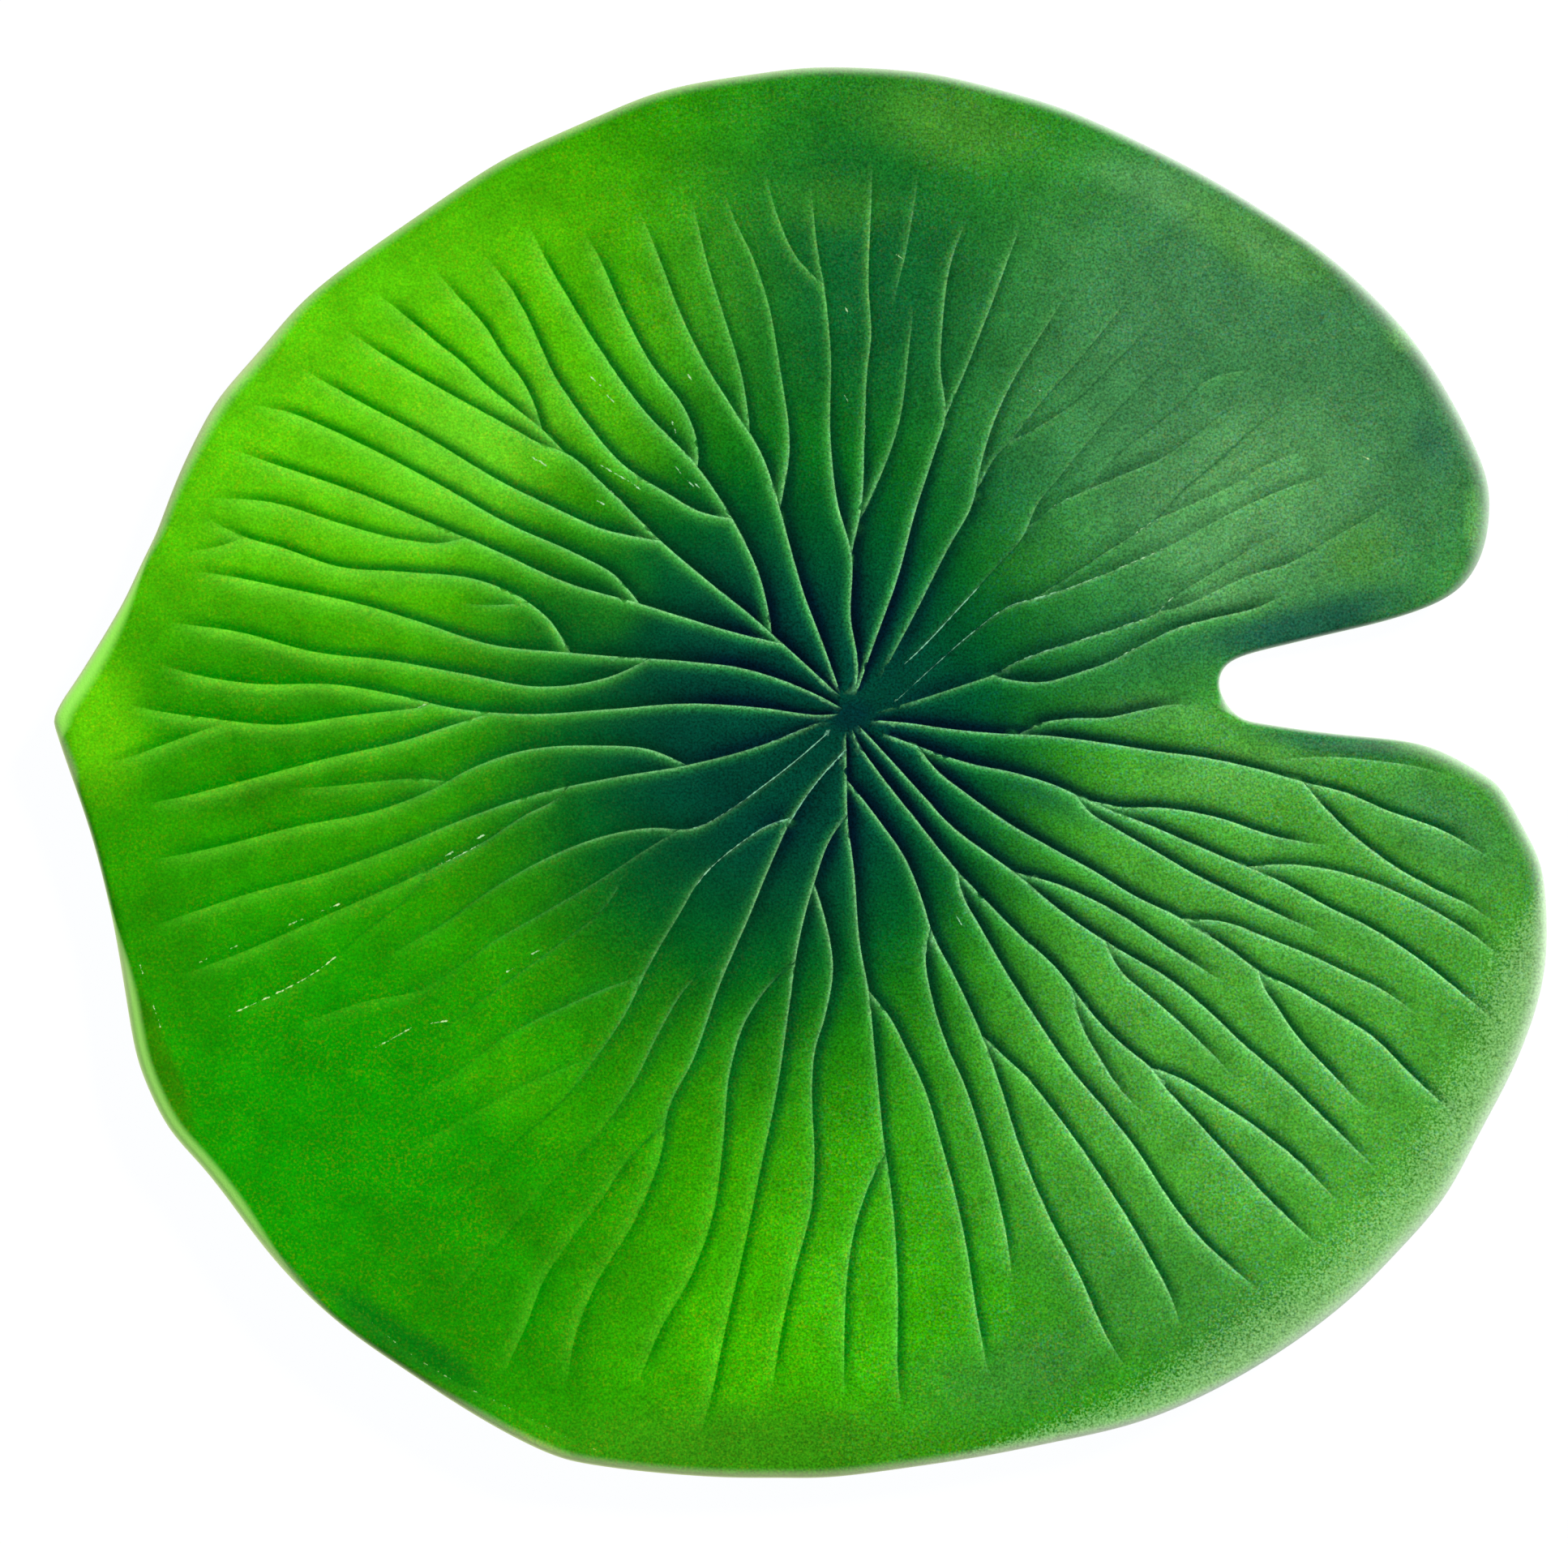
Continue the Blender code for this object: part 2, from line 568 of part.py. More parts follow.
def joined_forks(veins):
    """The veins' lines, with each fork starting on a point of the line that it leaves."""
    lines = [line.copy() for _, _, line in veins]
    for child, (start, _, _) in enumerate(veins):
        if start != "fork":
            continue
        leaves = lines[child][:1]
        others = [i for i in range(len(lines)) if i != child]
        found = {i: distance_to_line(leaves, lines[i]) for i in others}
        parent = min(others, key=lambda i: found[i][0][0])
        along = found[parent][1][0]
        knots = travelled(lines[parent])
        nearest = np.abs(knots - along).argmin()
        if abs(knots[nearest] - along) < LEAST_GAP:
            lines[child][0] = lines[parent][nearest]
            continue
        lines[parent] = np.insert(lines[parent], np.searchsorted(knots, along), leaves[0], axis=0)
    return lines


def hex_points(step, low, high):
    """Points on a triangular grid that covers a rectangle."""
    rows = np.arange(low[1], high[1], step * math.sqrt(0.75))
    points = []
    for number, y in enumerate(rows):
        xs = np.arange(low[0] + step / 2 * (number % 2), high[0], step)
        points.append(np.column_stack([xs, np.full(len(xs), y)]))
    return np.vstack(points)


def inside(points, loop):
    """Whether each point is inside the closed loop, by counting its crossings to the right."""
    x, y = points[:, 0, None], points[:, 1, None]
    ends = np.roll(loop, -1, axis=0)
    crosses = (loop[:, 1] > y) != (ends[:, 1] > y)
    rise = np.where(ends[:, 1] == loop[:, 1], 1, ends[:, 1] - loop[:, 1])
    meets = loop[:, 0] + (y - loop[:, 1]) / rise * (ends[:, 0] - loop[:, 0])
    return (crosses & (x < meets)).sum(1) % 2 == 1


def clear_of(points, others, gap):
    """The points that are further than the gap from every other point."""
    apart = np.linalg.norm(points[:, None] - others[None], axis=2).min(1)
    return points[apart > gap]


def thinned(points, gap):
    """The points in order, leaving out any that comes closer than the gap to one already kept."""
    kept = []
    for point in points:
        if all(np.linalg.norm(point - other) > gap for other in kept):
            kept.append(point)
    return np.array(kept)


def side_points(lines, loop):
    """Points on both banks of every vein, clear of the other veins and of the rim."""
    banks = []
    for number, line in enumerate(lines):
        run = np.gradient(line, axis=0)
        run /= np.linalg.norm(run, axis=1)[:, None]
        across = np.column_stack([-run[:, 1], run[:, 0]]) * SIDE_OFFSET
        bank = np.vstack([line[1:-1] + across[1:-1], line[1:-1] - across[1:-1]])
        for other, near in enumerate(lines):
            if len(bank) and other != number:
                bank = bank[distance_to_line(bank, near)[0] > LEAST_GAP]
        banks.append(bank)
    banks = np.vstack(banks)
    banks = banks[inside(banks, loop)]
    banks = clear_of(banks, np.vstack(lines), LEAST_GAP)
    return thinned(banks, LEAST_GAP)


def triangulated(points, edges, count):
    """Triangles inside the loop of the first points, and where each given point ended up."""
    flat = [Vector(point) for point in points]
    found = delaunay_2d_cdt(flat, edges, [], 0, MERGE, True)
    places = {given: number for number, group in enumerate(found[3]) for given in group}
    flat = np.array([tuple(point) for point in found[0]])
    triangles = np.array(found[2])
    kept = inside(flat[triangles].mean(1), points[:count])
    return flat, triangles[kept], places


def loop_edges(count):
    return [(i, (i + 1) % count) for i in range(count)]


def top_face(outline, normals, veins):
    """The pressed top: its points with heights, its triangles, and its outer loop."""
    loop = outline + normals * roll_width(outline)[:, None]
    lines = joined_forks(veins)
    points = list(loop)
    edges = loop_edges(len(loop))
    known = {}
    for line in lines:
        numbers = []
        for point in line:
            key = tuple(np.round(point, 7))
            if key not in known:
                known[key] = len(points)
                points.append(point)
            numbers.append(known[key])
        edges += list(zip(numbers[:-1], numbers[1:]))
    banks = side_points(lines, loop)
    points = np.vstack([points, banks])
    fill = hex_points(TOP_STEP, loop.min(0), loop.max(0))
    fill = fill[inside(fill, loop)]
    fill = clear_of(fill, points, TOP_STEP * FILL_GAP)
    points = np.vstack([points, fill])
    flat, triangles, places = triangulated(points, edges, len(loop))
    heights = underside(flat) + SHEET - vein_depth(flat, veins)
    return np.column_stack([flat, heights]), triangles, [places[i] for i in range(len(loop))]


def lower_face(outline, normals):
    """The plain underside: its points with heights, its triangles, and its outer loop."""
    loop = outline + normals * UNDERCUT
    turn = np.linspace(0, 2 * math.pi, FLAT_EDGE_POINTS, endpoint=False)
    flat_edge = np.column_stack([np.cos(turn), np.sin(turn)]) * FLAT_RADIUS
    points = np.vstack([loop, flat_edge])
    fill = hex_points(UNDER_STEP, loop.min(0), loop.max(0))
    fill = fill[inside(fill, loop)]
    fill = clear_of(fill, points, UNDER_STEP * FILL_GAP)
    points = np.vstack([points, fill])
    flat, triangles, places = triangulated(points, loop_edges(len(loop)), len(loop))
    return np.column_stack([flat, underside(flat)]), triangles, [places[i] for i in range(len(loop))]


def rim_loop(outline, normals, share):
    """A loop of the rounded rim, at a share of the roll's width in from the outline."""
    flat = outline + normals * (roll_width(outline) * share)[:, None]
    return np.column_stack([flat, underside(flat) + rolled_height(outline, share)])


def leaf_mesh():
    """One closed surface: the pressed top, the rounded rim in three bands, and the underside."""
    read = closed_curve(to_leaf(OUTLINE_PX), OUTLINE_POINTS)
    outline = read - inward(read) * BEYOND_PX * LEAF_LENGTH / LENGTH_PX
    normals = inward(outline)
    veins = [
        (start, strength, open_curve(to_leaf(points), VEIN_STEP))
        for start, strength, points in VEINS_PX.values()
    ]
    top, top_faces, top_loop = top_face(outline, normals, veins)
    lower, lower_faces, lower_loop = lower_face(outline, normals)
    shoulder = rim_loop(outline, normals, SHOULDER_SHARE)
    edge = rim_loop(outline, normals, 0)
    points = np.vstack([top, shoulder, edge, lower])
    faces = [tuple(face) for face in top_faces.tolist()]
    count = len(outline)
    shoulder_loop = list(range(len(top), len(top) + count))
    edge_loop = [number + count for number in shoulder_loop]
    under_start = len(top) + 2 * count
    lower_loop = [under_start + number for number in lower_loop]
    faces += [tuple(under_start + number for number in reversed(face)) for face in lower_faces.tolist()]
    bands = [top_loop, shoulder_loop, edge_loop, lower_loop]
    for upper, below in zip(bands[:-1], bands[1:]):
        for i in range(count):
            j = (i + 1) % count
            faces.append((upper[i], upper[j], below[j], below[i]))
    mesh = bpy.data.meshes.new("leaf")
    mesh.from_pydata([tuple(point) for point in points], [], faces)
    mesh.validate()
    mesh.shade_smooth()
    mesh.set_sharp_from_angle(angle=math.radians(SHARP_DEG))
    return mesh


def leaf_material():
    """Matt green foam."""
    material = bpy.data.materials.new("leaf_foam")
    material.use_nodes = True
    shader = material.node_tree.nodes["Principled BSDF"]
    shader.inputs["Base Color"].default_value = (*FOAM_COLOUR, 1)
    shader.inputs["Roughness"].default_value = FOAM_ROUGHNESS
    return material


def main():
    for obj in list(bpy.data.objects):
        bpy.data.objects.remove(obj)
    mesh = leaf_mesh()
    mesh.materials.append(leaf_material())
    leaf = bpy.data.objects.new("leaf", mesh)
    bpy.context.scene.collection.objects.link(leaf)


main()
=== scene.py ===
"""Lotus leaf for a pond or an aquarium: pressed soft foam, airbrushed green, seen from above.

The leaf has the solid's outline, dish, rim and vein lines at a much finer sampling. Its creases are
a little deeper than the solid's at the hub and shallower towards the rim, and one bank climbs more
gently than the other. Its paint is a material of airbrushed patches, grain and scuffs, with painted
shade and highlights along the creases, and painted shade, a painted white glow and a painted sheen
at the rim.
"""

import math

import bpy
import numpy as np
from mathutils import Euler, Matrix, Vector
from mathutils.geometry import delaunay_2d_cdt
from mathutils.kdtree import KDTree


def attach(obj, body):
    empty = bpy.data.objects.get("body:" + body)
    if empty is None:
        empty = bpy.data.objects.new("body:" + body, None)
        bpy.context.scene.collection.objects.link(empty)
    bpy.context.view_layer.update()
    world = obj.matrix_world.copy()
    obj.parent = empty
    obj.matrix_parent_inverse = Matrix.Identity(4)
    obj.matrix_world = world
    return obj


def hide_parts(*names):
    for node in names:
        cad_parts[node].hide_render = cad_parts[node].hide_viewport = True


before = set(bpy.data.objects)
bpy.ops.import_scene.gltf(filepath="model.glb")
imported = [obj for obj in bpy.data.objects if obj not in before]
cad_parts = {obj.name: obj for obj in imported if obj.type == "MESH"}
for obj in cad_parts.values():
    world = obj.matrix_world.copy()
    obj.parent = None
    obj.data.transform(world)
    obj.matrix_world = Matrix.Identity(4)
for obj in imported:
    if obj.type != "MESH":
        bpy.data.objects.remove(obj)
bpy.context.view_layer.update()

MM_PER_METRE = 1000

# Driving dimensions of the leaf, in metres
LEAF_LENGTH = 0.280
SHEET = 0.0036

# Dish: flat out to FLAT_RADIUS, then up by RISE at RISE_RADIUS, with WAVES waves of height WAVE
# round the rim
RISE = 0.008
WAVE = 0.0010
WAVES = 5
FLAT_RADIUS = 0.048
RISE_RADIUS = 0.142

# Rim: the top rounds over within ROLL of the outline, and over more at the tip and along the
# turned-down stretch at the lower left
ROLL = 0.0016
ROLL_FOLD = 0.0010
ROLL_TIP = 0.0012
FOLD_FROM_DEG = 197
FOLD_TO_DEG = 222
TIP_FROM_DEG = 166
TIP_TO_DEG = 182
RAMP_DEG = 7

# Height of the outermost edge over the underside, as a share of the sheet, usually and on the
# turned-down stretch, and how far the underside starts inside it
EDGE_HEIGHT = 0.42
FOLD_HEIGHT = 0.22
UNDERCUT = 0.0007

# Veins: depth of the crease and the distance over which a pillow climbs away from it, at the hub
# and from FADE_RADIUS outwards. Creases fade out over the last TIP_FADE and their paint over the
# last PAINT_FADE, and those from the hub grow over the first HUB_FADE. A higher SOFTNESS keeps
# neighbouring creases more apart.
HUB_DEPTH = 0.00140
HUB_SPREAD = 0.0016
RIM_DEPTH = 0.00055
RIM_SPREAD = 0.00110
FADE_RADIUS = 0.095
TIP_FADE = 0.016
HUB_FADE = 0.003
PAINT_FADE = 0.009
SOFTNESS = 5

# The creases round this spot, in picture pixels, are pressed more lightly: up to this far from it,
# and by this share within half that distance
QUIET_PX = (1110, 240)
QUIET_REACH = 0.062
QUIET_SHARE = 0.42

# Light falls from this side. The bank of a crease that faces away from it climbs more gently, by
# this share, and the other one more steeply
LIGHT_SIDE = (0.743, 0.669)
LEE_SPREAD = 0.30

# Painted shade and painted highlights along a crease, laid out by the side the light falls from. The
# bank that faces away from the light has a band of painted shade, this wide at the hub and from
# FADE_RADIUS outwards; the crease itself has a painted dark line of shade; the other bank has a
# painted highlight line in a wider painted highlight band. Within HUB_NARROW of the hub the bands
# narrow, to LEAST_BAND of that at least. A bank has its full paint where it faces the light, or away
# from it, by 1 / LEE_GAIN or more.
HUB_SHADE_WIDTH = 0.0029
RIM_SHADE_WIDTH = 0.0016
LINE_REACH = 0.00028
HIGHLIGHT_LINE_REACH = 0.00040
HUB_HIGHLIGHT_WIDTH = 0.0010
RIM_HIGHLIGHT_WIDTH = 0.0019
HUB_NARROW = 0.018
LEAST_BAND = 0.3
LEE_GAIN = 2.6

# How far a scuff on a crease reaches to the side, and over how far it fades in at its ends
SCUFF_REACH = 0.00019
SCUFF_RAMP = 0.0025

# How many points the rim has: round it, between two read points of its curve, to either side when
# its direction is found, down its rounded top, and from there down to the underside
OUTLINE_POINTS = 900
CURVE_STEPS = 40
NORMAL_SPAN = 4
RIM_STEPS = 8
EDGE_STEPS = 4

# Points of the top: their spacing along the creases, the rows on their banks, and the spacing in
# between. A new point keeps clear of others by BANK_GAP of the way from the row before, and in
# between by FILL_GAP of the spacing. A crease presses the top within REACH of the box round it, and
# a fork starts on its parent's own point within LEAST_GAP. Points within MERGE are one, and so are
# vein points with the same DIGITS. Points are tested against a loop by the BATCH.
VEIN_STEP = 0.0017
BANKS = (0.00014, 0.00034, 0.00062, 0.00100, 0.00155, 0.00230)
TOP_STEP = 0.0022
BANK_GAP = 0.55
FILL_GAP = 0.45
REACH = 0.014
LEAST_GAP = 0.0003
MERGE = 1e-8
DIGITS = 7
BATCH = 5000

# Points of the underside: their spacing, and those round its flat middle
UNDER_STEP = 0.0040
FLAT_EDGE_POINTS = 120

# Nicks: how far each reaches to the side, and the points laid over it: their spacing, how far
# beyond it they go, and how close they come to others
NICK_REACH = 0.00020
NICK_STEP = 0.00022
NICK_MARGIN = 0.00060
NICK_GAP = 0.00012

# Paint at the rim: its name, its usual value, and the stretches where it differs: the bearings from
# the hub, in degrees, between which it grows to another value, those between which it falls back,
# and that value. In millimetres it is the width of the white fade at the edge, which is a painted
# glow of light, of the bare foam inside it and of the painted sheen further in. The second entry is
# how white the painted glow is on the edge itself.
RIM_PAINT = (
    ("edge", 2.2, (
        (1, 3, 10, 13, 0.8), (12, 16, 37, 47, 3.8), (140, 150, 154, 164, 3.2),
        (164, 168, 180, 184, 1.5), (184, 186, 196, 200, 0.9), (200, 203, 218, 226, 1.3),
        (224, 230, 236, 244, 1.1), (300, 310, 355.5, 357, 3.6), (356.3, 357.2, 359.5, 361, 0.9),
    )),
    ("glow_white", 0.62, (
        (10, 14, 38, 48, 0.54), (140, 150, 292, 304, 0.95), (300, 312, 356, 357.2, 0.56),
    )),
    ("foam", 0.05, ((163, 178, 180.5, 182.5, 3.0), (192, 203, 218, 231, 2.3))),
    ("rim_sheen", 0.05, ((271, 308, 338, 348, 11.5),)),
)

# The outline and the veins are read off a straight-down picture of the leaf, in its pixels with y
# down: the hub, the length from the tip at the left to the far lobe at the right, and the picture
HUB_PX = (1045, 880)
LENGTH_PX = 1841
PICTURE_PX = (1934, 1904)

# Paint colours, as sRGB out of 255
BASE_GREEN = (44, 156, 0)
YELLOW_GREEN = (96, 208, 8)
MID_GREEN = (26, 136, 0)
TIP_GREEN = (98, 204, 6)
WEST_GREEN = (30, 126, 0)
BRIGHT_LIME = (116, 218, 40)
GRASS_GREEN = (10, 150, 0)
LOW_GREEN = (22, 134, 0)
SOUTH_GREEN = (58, 180, 0)
SOUTH_RIM_GREEN = (54, 134, 14)
SOUTH_EAST_GREEN = (60, 140, 46)
EAST_GREEN = (77, 168, 46)
PALE_EAST = (98, 180, 72)
LOBE_EAST_GREEN = (66, 140, 74)
NORTH_EAST_GREEN = (69, 140, 79)
PALE_NORTH_EAST = (102, 174, 98)
LIME_SPOT = (86, 162, 56)
EAST_RIM_LIME = (98, 178, 84)
EAST_TEAL = (52, 116, 84)
NORTH_RIM_GREEN = (74, 154, 44)
NOTCH_BLUE = (16, 82, 72)
NOTCH_GREEN = (38, 116, 62)
LOBE_GREEN = (44, 116, 74)
STREAK_GREEN = (6, 95, 47)
STREAK_BLUE = (14, 84, 64)
NORTH_MID_GREEN = (50, 134, 34)
DARK_GREEN = (0, 108, 14)
# Painted shade on the rolled rim at the lower left
FOLD_SHADE_OLIVE = (44, 122, 0)
RIM_SHADE_OLIVE = (50, 118, 10)
RIM_LIME = (128, 184, 50)
HUB_GREEN = (0, 68, 50)
HUB_MIDDLE = (0, 50, 50)
# Painted shade of the creases, painted highlight bands on the banks that face the light, and painted
# highlight lines beside the crease
HUB_SHADE = (0, 22, 40)
LEAF_SHADE = (2, 140, 0)
EAST_SHADE = (0, 84, 32)
HUB_CREST_HIGHLIGHT = (44, 152, 62)
LEAF_CREST_HIGHLIGHT = (112, 212, 46)
EAST_CREST_HIGHLIGHT = (96, 188, 84)
HUB_GLINT = (140, 206, 140)
LEAF_GLINT = (160, 232, 150)
PALE_MINT = (150, 226, 186)
WARM_WHITE = (226, 255, 180)
LIME_FOAM = (168, 255, 100)
MINT_FOAM = (182, 255, 120)
# White glow painted at the rim's edge, standing in for light
WARM_EDGE_GLOW = (242, 255, 190)
COOL_EDGE_GLOW = (248, 253, 244)
# Painted sheen along the rim
RIM_SHEEN = (182, 232, 158)
FOAM_BACK = (88, 160, 66)

# Airbrushed patches in the order they were sprayed, a few of them painted shade along the rim: the
# middle and the two radii in picture pixels, the turn of the first radius in degrees, the colour, how
# strong it is, and the share of the radius where it starts to fade
PATCHES = (
    ((480, 500), (600, 400), 30, YELLOW_GREEN, 1.0, 0.15),
    ((590, 560), (190, 130), 30, BRIGHT_LIME, 0.6, 0.1),
    ((430, 1400), (560, 420), -35, GRASS_GREEN, 1.0, 0.2),
    ((560, 1610), (300, 110), -35, LOW_GREEN, 0.7, 0.1),
    ((340, 860), (240, 210), 0, MID_GREEN, 0.9, 0.1),
    ((125, 890), (85, 140), 0, TIP_GREEN, 0.9, 0.2),
    ((310, 975), (190, 50), 6, WEST_GREEN, 0.7, 0.1),
    ((215, 1160), (170, 75), -75, WEST_GREEN, 0.6, 0.1),
    ((640, 1505), (150, 60), -40, WEST_GREEN, 0.5, 0.1),
    ((640, 1350), (130, 75), -35, SOUTH_GREEN, 0.5, 0.1),
    ((1000, 1620), (340, 330), 0, SOUTH_GREEN, 1.0, 0.1),
    ((760, 1560), (110, 130), 0, WEST_GREEN, 0.35, 0.1),
    ((980, 1790), (520, 90), 0, SOUTH_RIM_GREEN, 0.8, 0.2),
    ((1640, 1250), (620, 640), 0, EAST_GREEN, 1.0, 0.35),
    ((1450, 1600), (300, 130), -25, SOUTH_EAST_GREEN, 0.7, 0.2),
    ((1270, 1690), (190, 85), 12, SOUTH_EAST_GREEN, 0.8, 0.1),
    ((1790, 1010), (150, 80), -35, LOBE_EAST_GREEN, 0.7, 0.1),
    ((1540, 950), (170, 70), 10, PALE_EAST, 0.7, 0.1),
    ((1580, 470), (560, 500), 0, NORTH_EAST_GREEN, 1.0, 0.35),
    ((1540, 620), (220, 170), 20, PALE_NORTH_EAST, 0.8, 0.1),
    ((1450, 235), (150, 45), -25, PALE_NORTH_EAST, 0.7, 0.1),
    ((1490, 735), (95, 38), 20, PALE_NORTH_EAST, 0.9, 0.2),
    ((1440, 885), (140, 34), -5, PALE_EAST, 0.7, 0.1),
    ((1555, 295), (160, 50), -32, LIME_SPOT, 0.7, 0.1),
    ((1560, 300), (70, 30), -35, PALE_NORTH_EAST, 0.6, 0.1),
    ((1680, 680), (80, 50), 20, LIME_SPOT, 0.6, 0.1),
    ((1765, 548), (70, 42), -60, EAST_TEAL, 0.6, 0.1),
    ((1720, 422), (36, 24), -48, EAST_RIM_LIME, 0.9, 0.2),
    ((1824, 645), (56, 17), -88, EAST_RIM_LIME, 0.9, 0.3),
    ((1370, 800), (260, 130), 0, NOTCH_GREEN, 0.7, 0.2),
    ((1610, 764), (200, 46), 14, NOTCH_BLUE, 0.8, 0.2),
    ((1650, 915), (150, 26), -8, LOBE_GREEN, 0.8, 0.3),
    # Painted shade on the turned-down rim at the lower left
    ((198, 1300), (150, 20), -73, FOLD_SHADE_OLIVE, 0.8, 0.4),
    # Painted shadow in a band inside the rim by the seam
    ((500, 1655), (170, 34), -37, DARK_GREEN, 0.8, 0.3),
    # Painted shade along the rim by the seam
    ((530, 1712), (130, 14), -35, RIM_SHADE_OLIVE, 0.8, 0.3),
    ((665, 1777), (60, 12), -24, RIM_LIME, 0.7, 0.2),
    ((1070, 380), (310, 490), 0, STREAK_GREEN, 0.9, 0.1),
    ((1200, 620), (180, 110), 20, STREAK_BLUE, 0.5, 0.1),
    ((1180, 145), (170, 70), -10, NORTH_RIM_GREEN, 0.9, 0.1),
    ((1030, 250), (120, 65), 0, NORTH_MID_GREEN, 0.7, 0.1),
    ((955, 900), (465, 550), 0, DARK_GREEN, 1.0, 0.5),
    ((975, 895), (410, 390), 0, HUB_GREEN, 1.0, 0.3),
    ((1310, 985), (110, 30), -20, STREAK_BLUE, 0.4, 0.1),
    ((725, 645), (150, 100), 45, BASE_GREEN, 0.45, 0.1),
    ((760, 745), (90, 60), 45, BASE_GREEN, 0.3, 0.1),
    ((750, 345), (110, 80), 45, MID_GREEN, 0.35, 0.1),
    ((750, 550), (100, 90), 0, YELLOW_GREEN, 0.25, 0.1),
    ((560, 950), (120, 55), 0, DARK_GREEN, 0.25, 0.1),
    ((1047, 878), (40, 34), 0, HUB_MIDDLE, 0.9, 0.3),
)

# How far the patches' borders wander, and the noise that moves them
WANDER = 0.010
WANDER_SCALE = 28
WANDER_DETAIL = 3

# Where the paint changes, in metres: outwards from the hub, and from west to east at a border that
# lies further east in the south. A range is followed by the values at its ends where it has some.
LEAFWARDS = (0.025, 0.105)
WEST_TO_EAST = (-0.05, 0.03)
SOUTH_SHIFT = (-0.12, 0.0, -0.04, 0.0)

# Painted shade and painted highlights of the creases: how strong they are, the share of the painted
# highlight bands that is left in the south-west and where that starts, and where the painted
# highlight lines of the west end, as shares of LEAFWARDS
SHADE_STRENGTH = 0.97
CREST_HIGHLIGHT_STRENGTH = 0.85
SOUTH_HIGHLIGHT_SHARE = 0.3
SOUTH_HIGHLIGHT_Y = (-0.05, 0.02)
GLINT_STRENGTH = 0.75
GLINT_ENDS = (0.8, 0.2)

# Grain, clouds of lighter and darker paint, and cooler and warmer tints: scale, detail and share.
# The grain grows eastwards and towards the hub. NOISE_RANGE is the usual range of noise, which is
# spread out to run from 0 to 1, and NOISE_MIDDLE is the middle of its colours.
NOISE_RANGE = (0.3, 0.7)
NOISE_MIDDLE = (0.5, 0.5, 0.5)
GRAIN_SCALE = 2300
GRAIN_SHARE = 0.25
GRAIN_EASTWARDS = (-0.08, 0.0, 0.9, 1.8)
GRAIN_FROM_HUB = (0.02, 0.06, 2.2, 0.9)
CLOUD_SCALE = 130
CLOUD_DETAIL = 4
CLOUD_SHARES = (0.86, 1.14)
TINT_SCALE = 1000
TINT_DETAIL = 3
COOL_TINT = (0.80, 0.96, 1.0)
WARM_TINT = (1.15, 1.06, 1.0)

# Flecks of paint, in clouds: what they add in the west and in the east, where they grow in the
# south, and where their red starts outwards from the hub, as shares of LEAFWARDS
FLECK_SCALE = 1900
FLECK_DETAIL = 2
FLECK_CLOUD_SCALE = 90
FLECK_CLOUD_SHARES = (0.3, 1.5)
FLECK_SOUTHWARDS = (-0.03, -0.09, 1.0, 1.3)
FLECK_RED = (0, 0.6)
WEST_FLECKS = (0.85, 0.22, 0)
EAST_FLECKS = (0.8, 0, 1.0)

# Painted sheen, bare foam and painted white glow at the rim: strength, where each ends and is full
# as shares of its width, how the grain frays the painted sheen, and where the foam turns from mint to
# lime
RIM_SHEEN_STRENGTH = 0.85
RIM_SHEEN_RANGE = (1.0, -0.3)
RIM_SHEEN_FRAY = (0.5, -0.4)
FOAM_STRENGTH = 0.95
FOAM_RANGE = (1.3, 0.5)
FOAM_LIME_Y = (-0.03, -0.01)
EDGE_RANGE = (1.0, 0.0)
EDGE_POWER = 2.0

# Scuffs: noise breaks them up, and less so near the hub
DASH_SCALE = 1100
DASH_SHARES = (-0.7, 0.25)
DASH_FROM_HUB = (0.03, 0.06, 0.45, 1)
SCUFF_RANGE = (0.45, 0.95)

# Surface of the leaf: grain of its underside, height of the grain, and gloss
BACK_SHARES = (0.9, 1.1)
BUMP_STRENGTH = 0.35
BUMP_HEIGHT = 0.00008
LEAF_ROUGHNESS = 0.72
LEAF_SPECULAR = 0.02

# Stage: the table, the light and the camera
FLOOR_SIZE = 6.0
FLOOR_GAP = 0.0002
FLOOR_COLOUR = (0.06, 0.06, 0.06)
FLOOR_ROUGHNESS = 0.9
FLOOR_SPECULAR = 0.1
FLOOR_GLOW = 0.985
FLOOR_GLOW_COLOUR = (0.98, 0.985, 1.0)
KEY_STRENGTH = 3.15
KEY_SOFT_DEG = 14
KEY_UP_DEG = 38
KEY_ROUND_DEG = 42
SUN_COLOUR = (1.0, 1.0, 0.96)
FILL_STRENGTH = 0.45
FILL_SOFT_DEG = 40
FILL_UP_DEG = 25
FILL_ROUND_DEG = 222
SKY_COLOUR = (0.85, 0.92, 1.0)
SKY_STRENGTH = 0.25
SENSOR_MM = 36
CAMERA_DISTANCE = 1.6
RIM_HEIGHT = 0.010

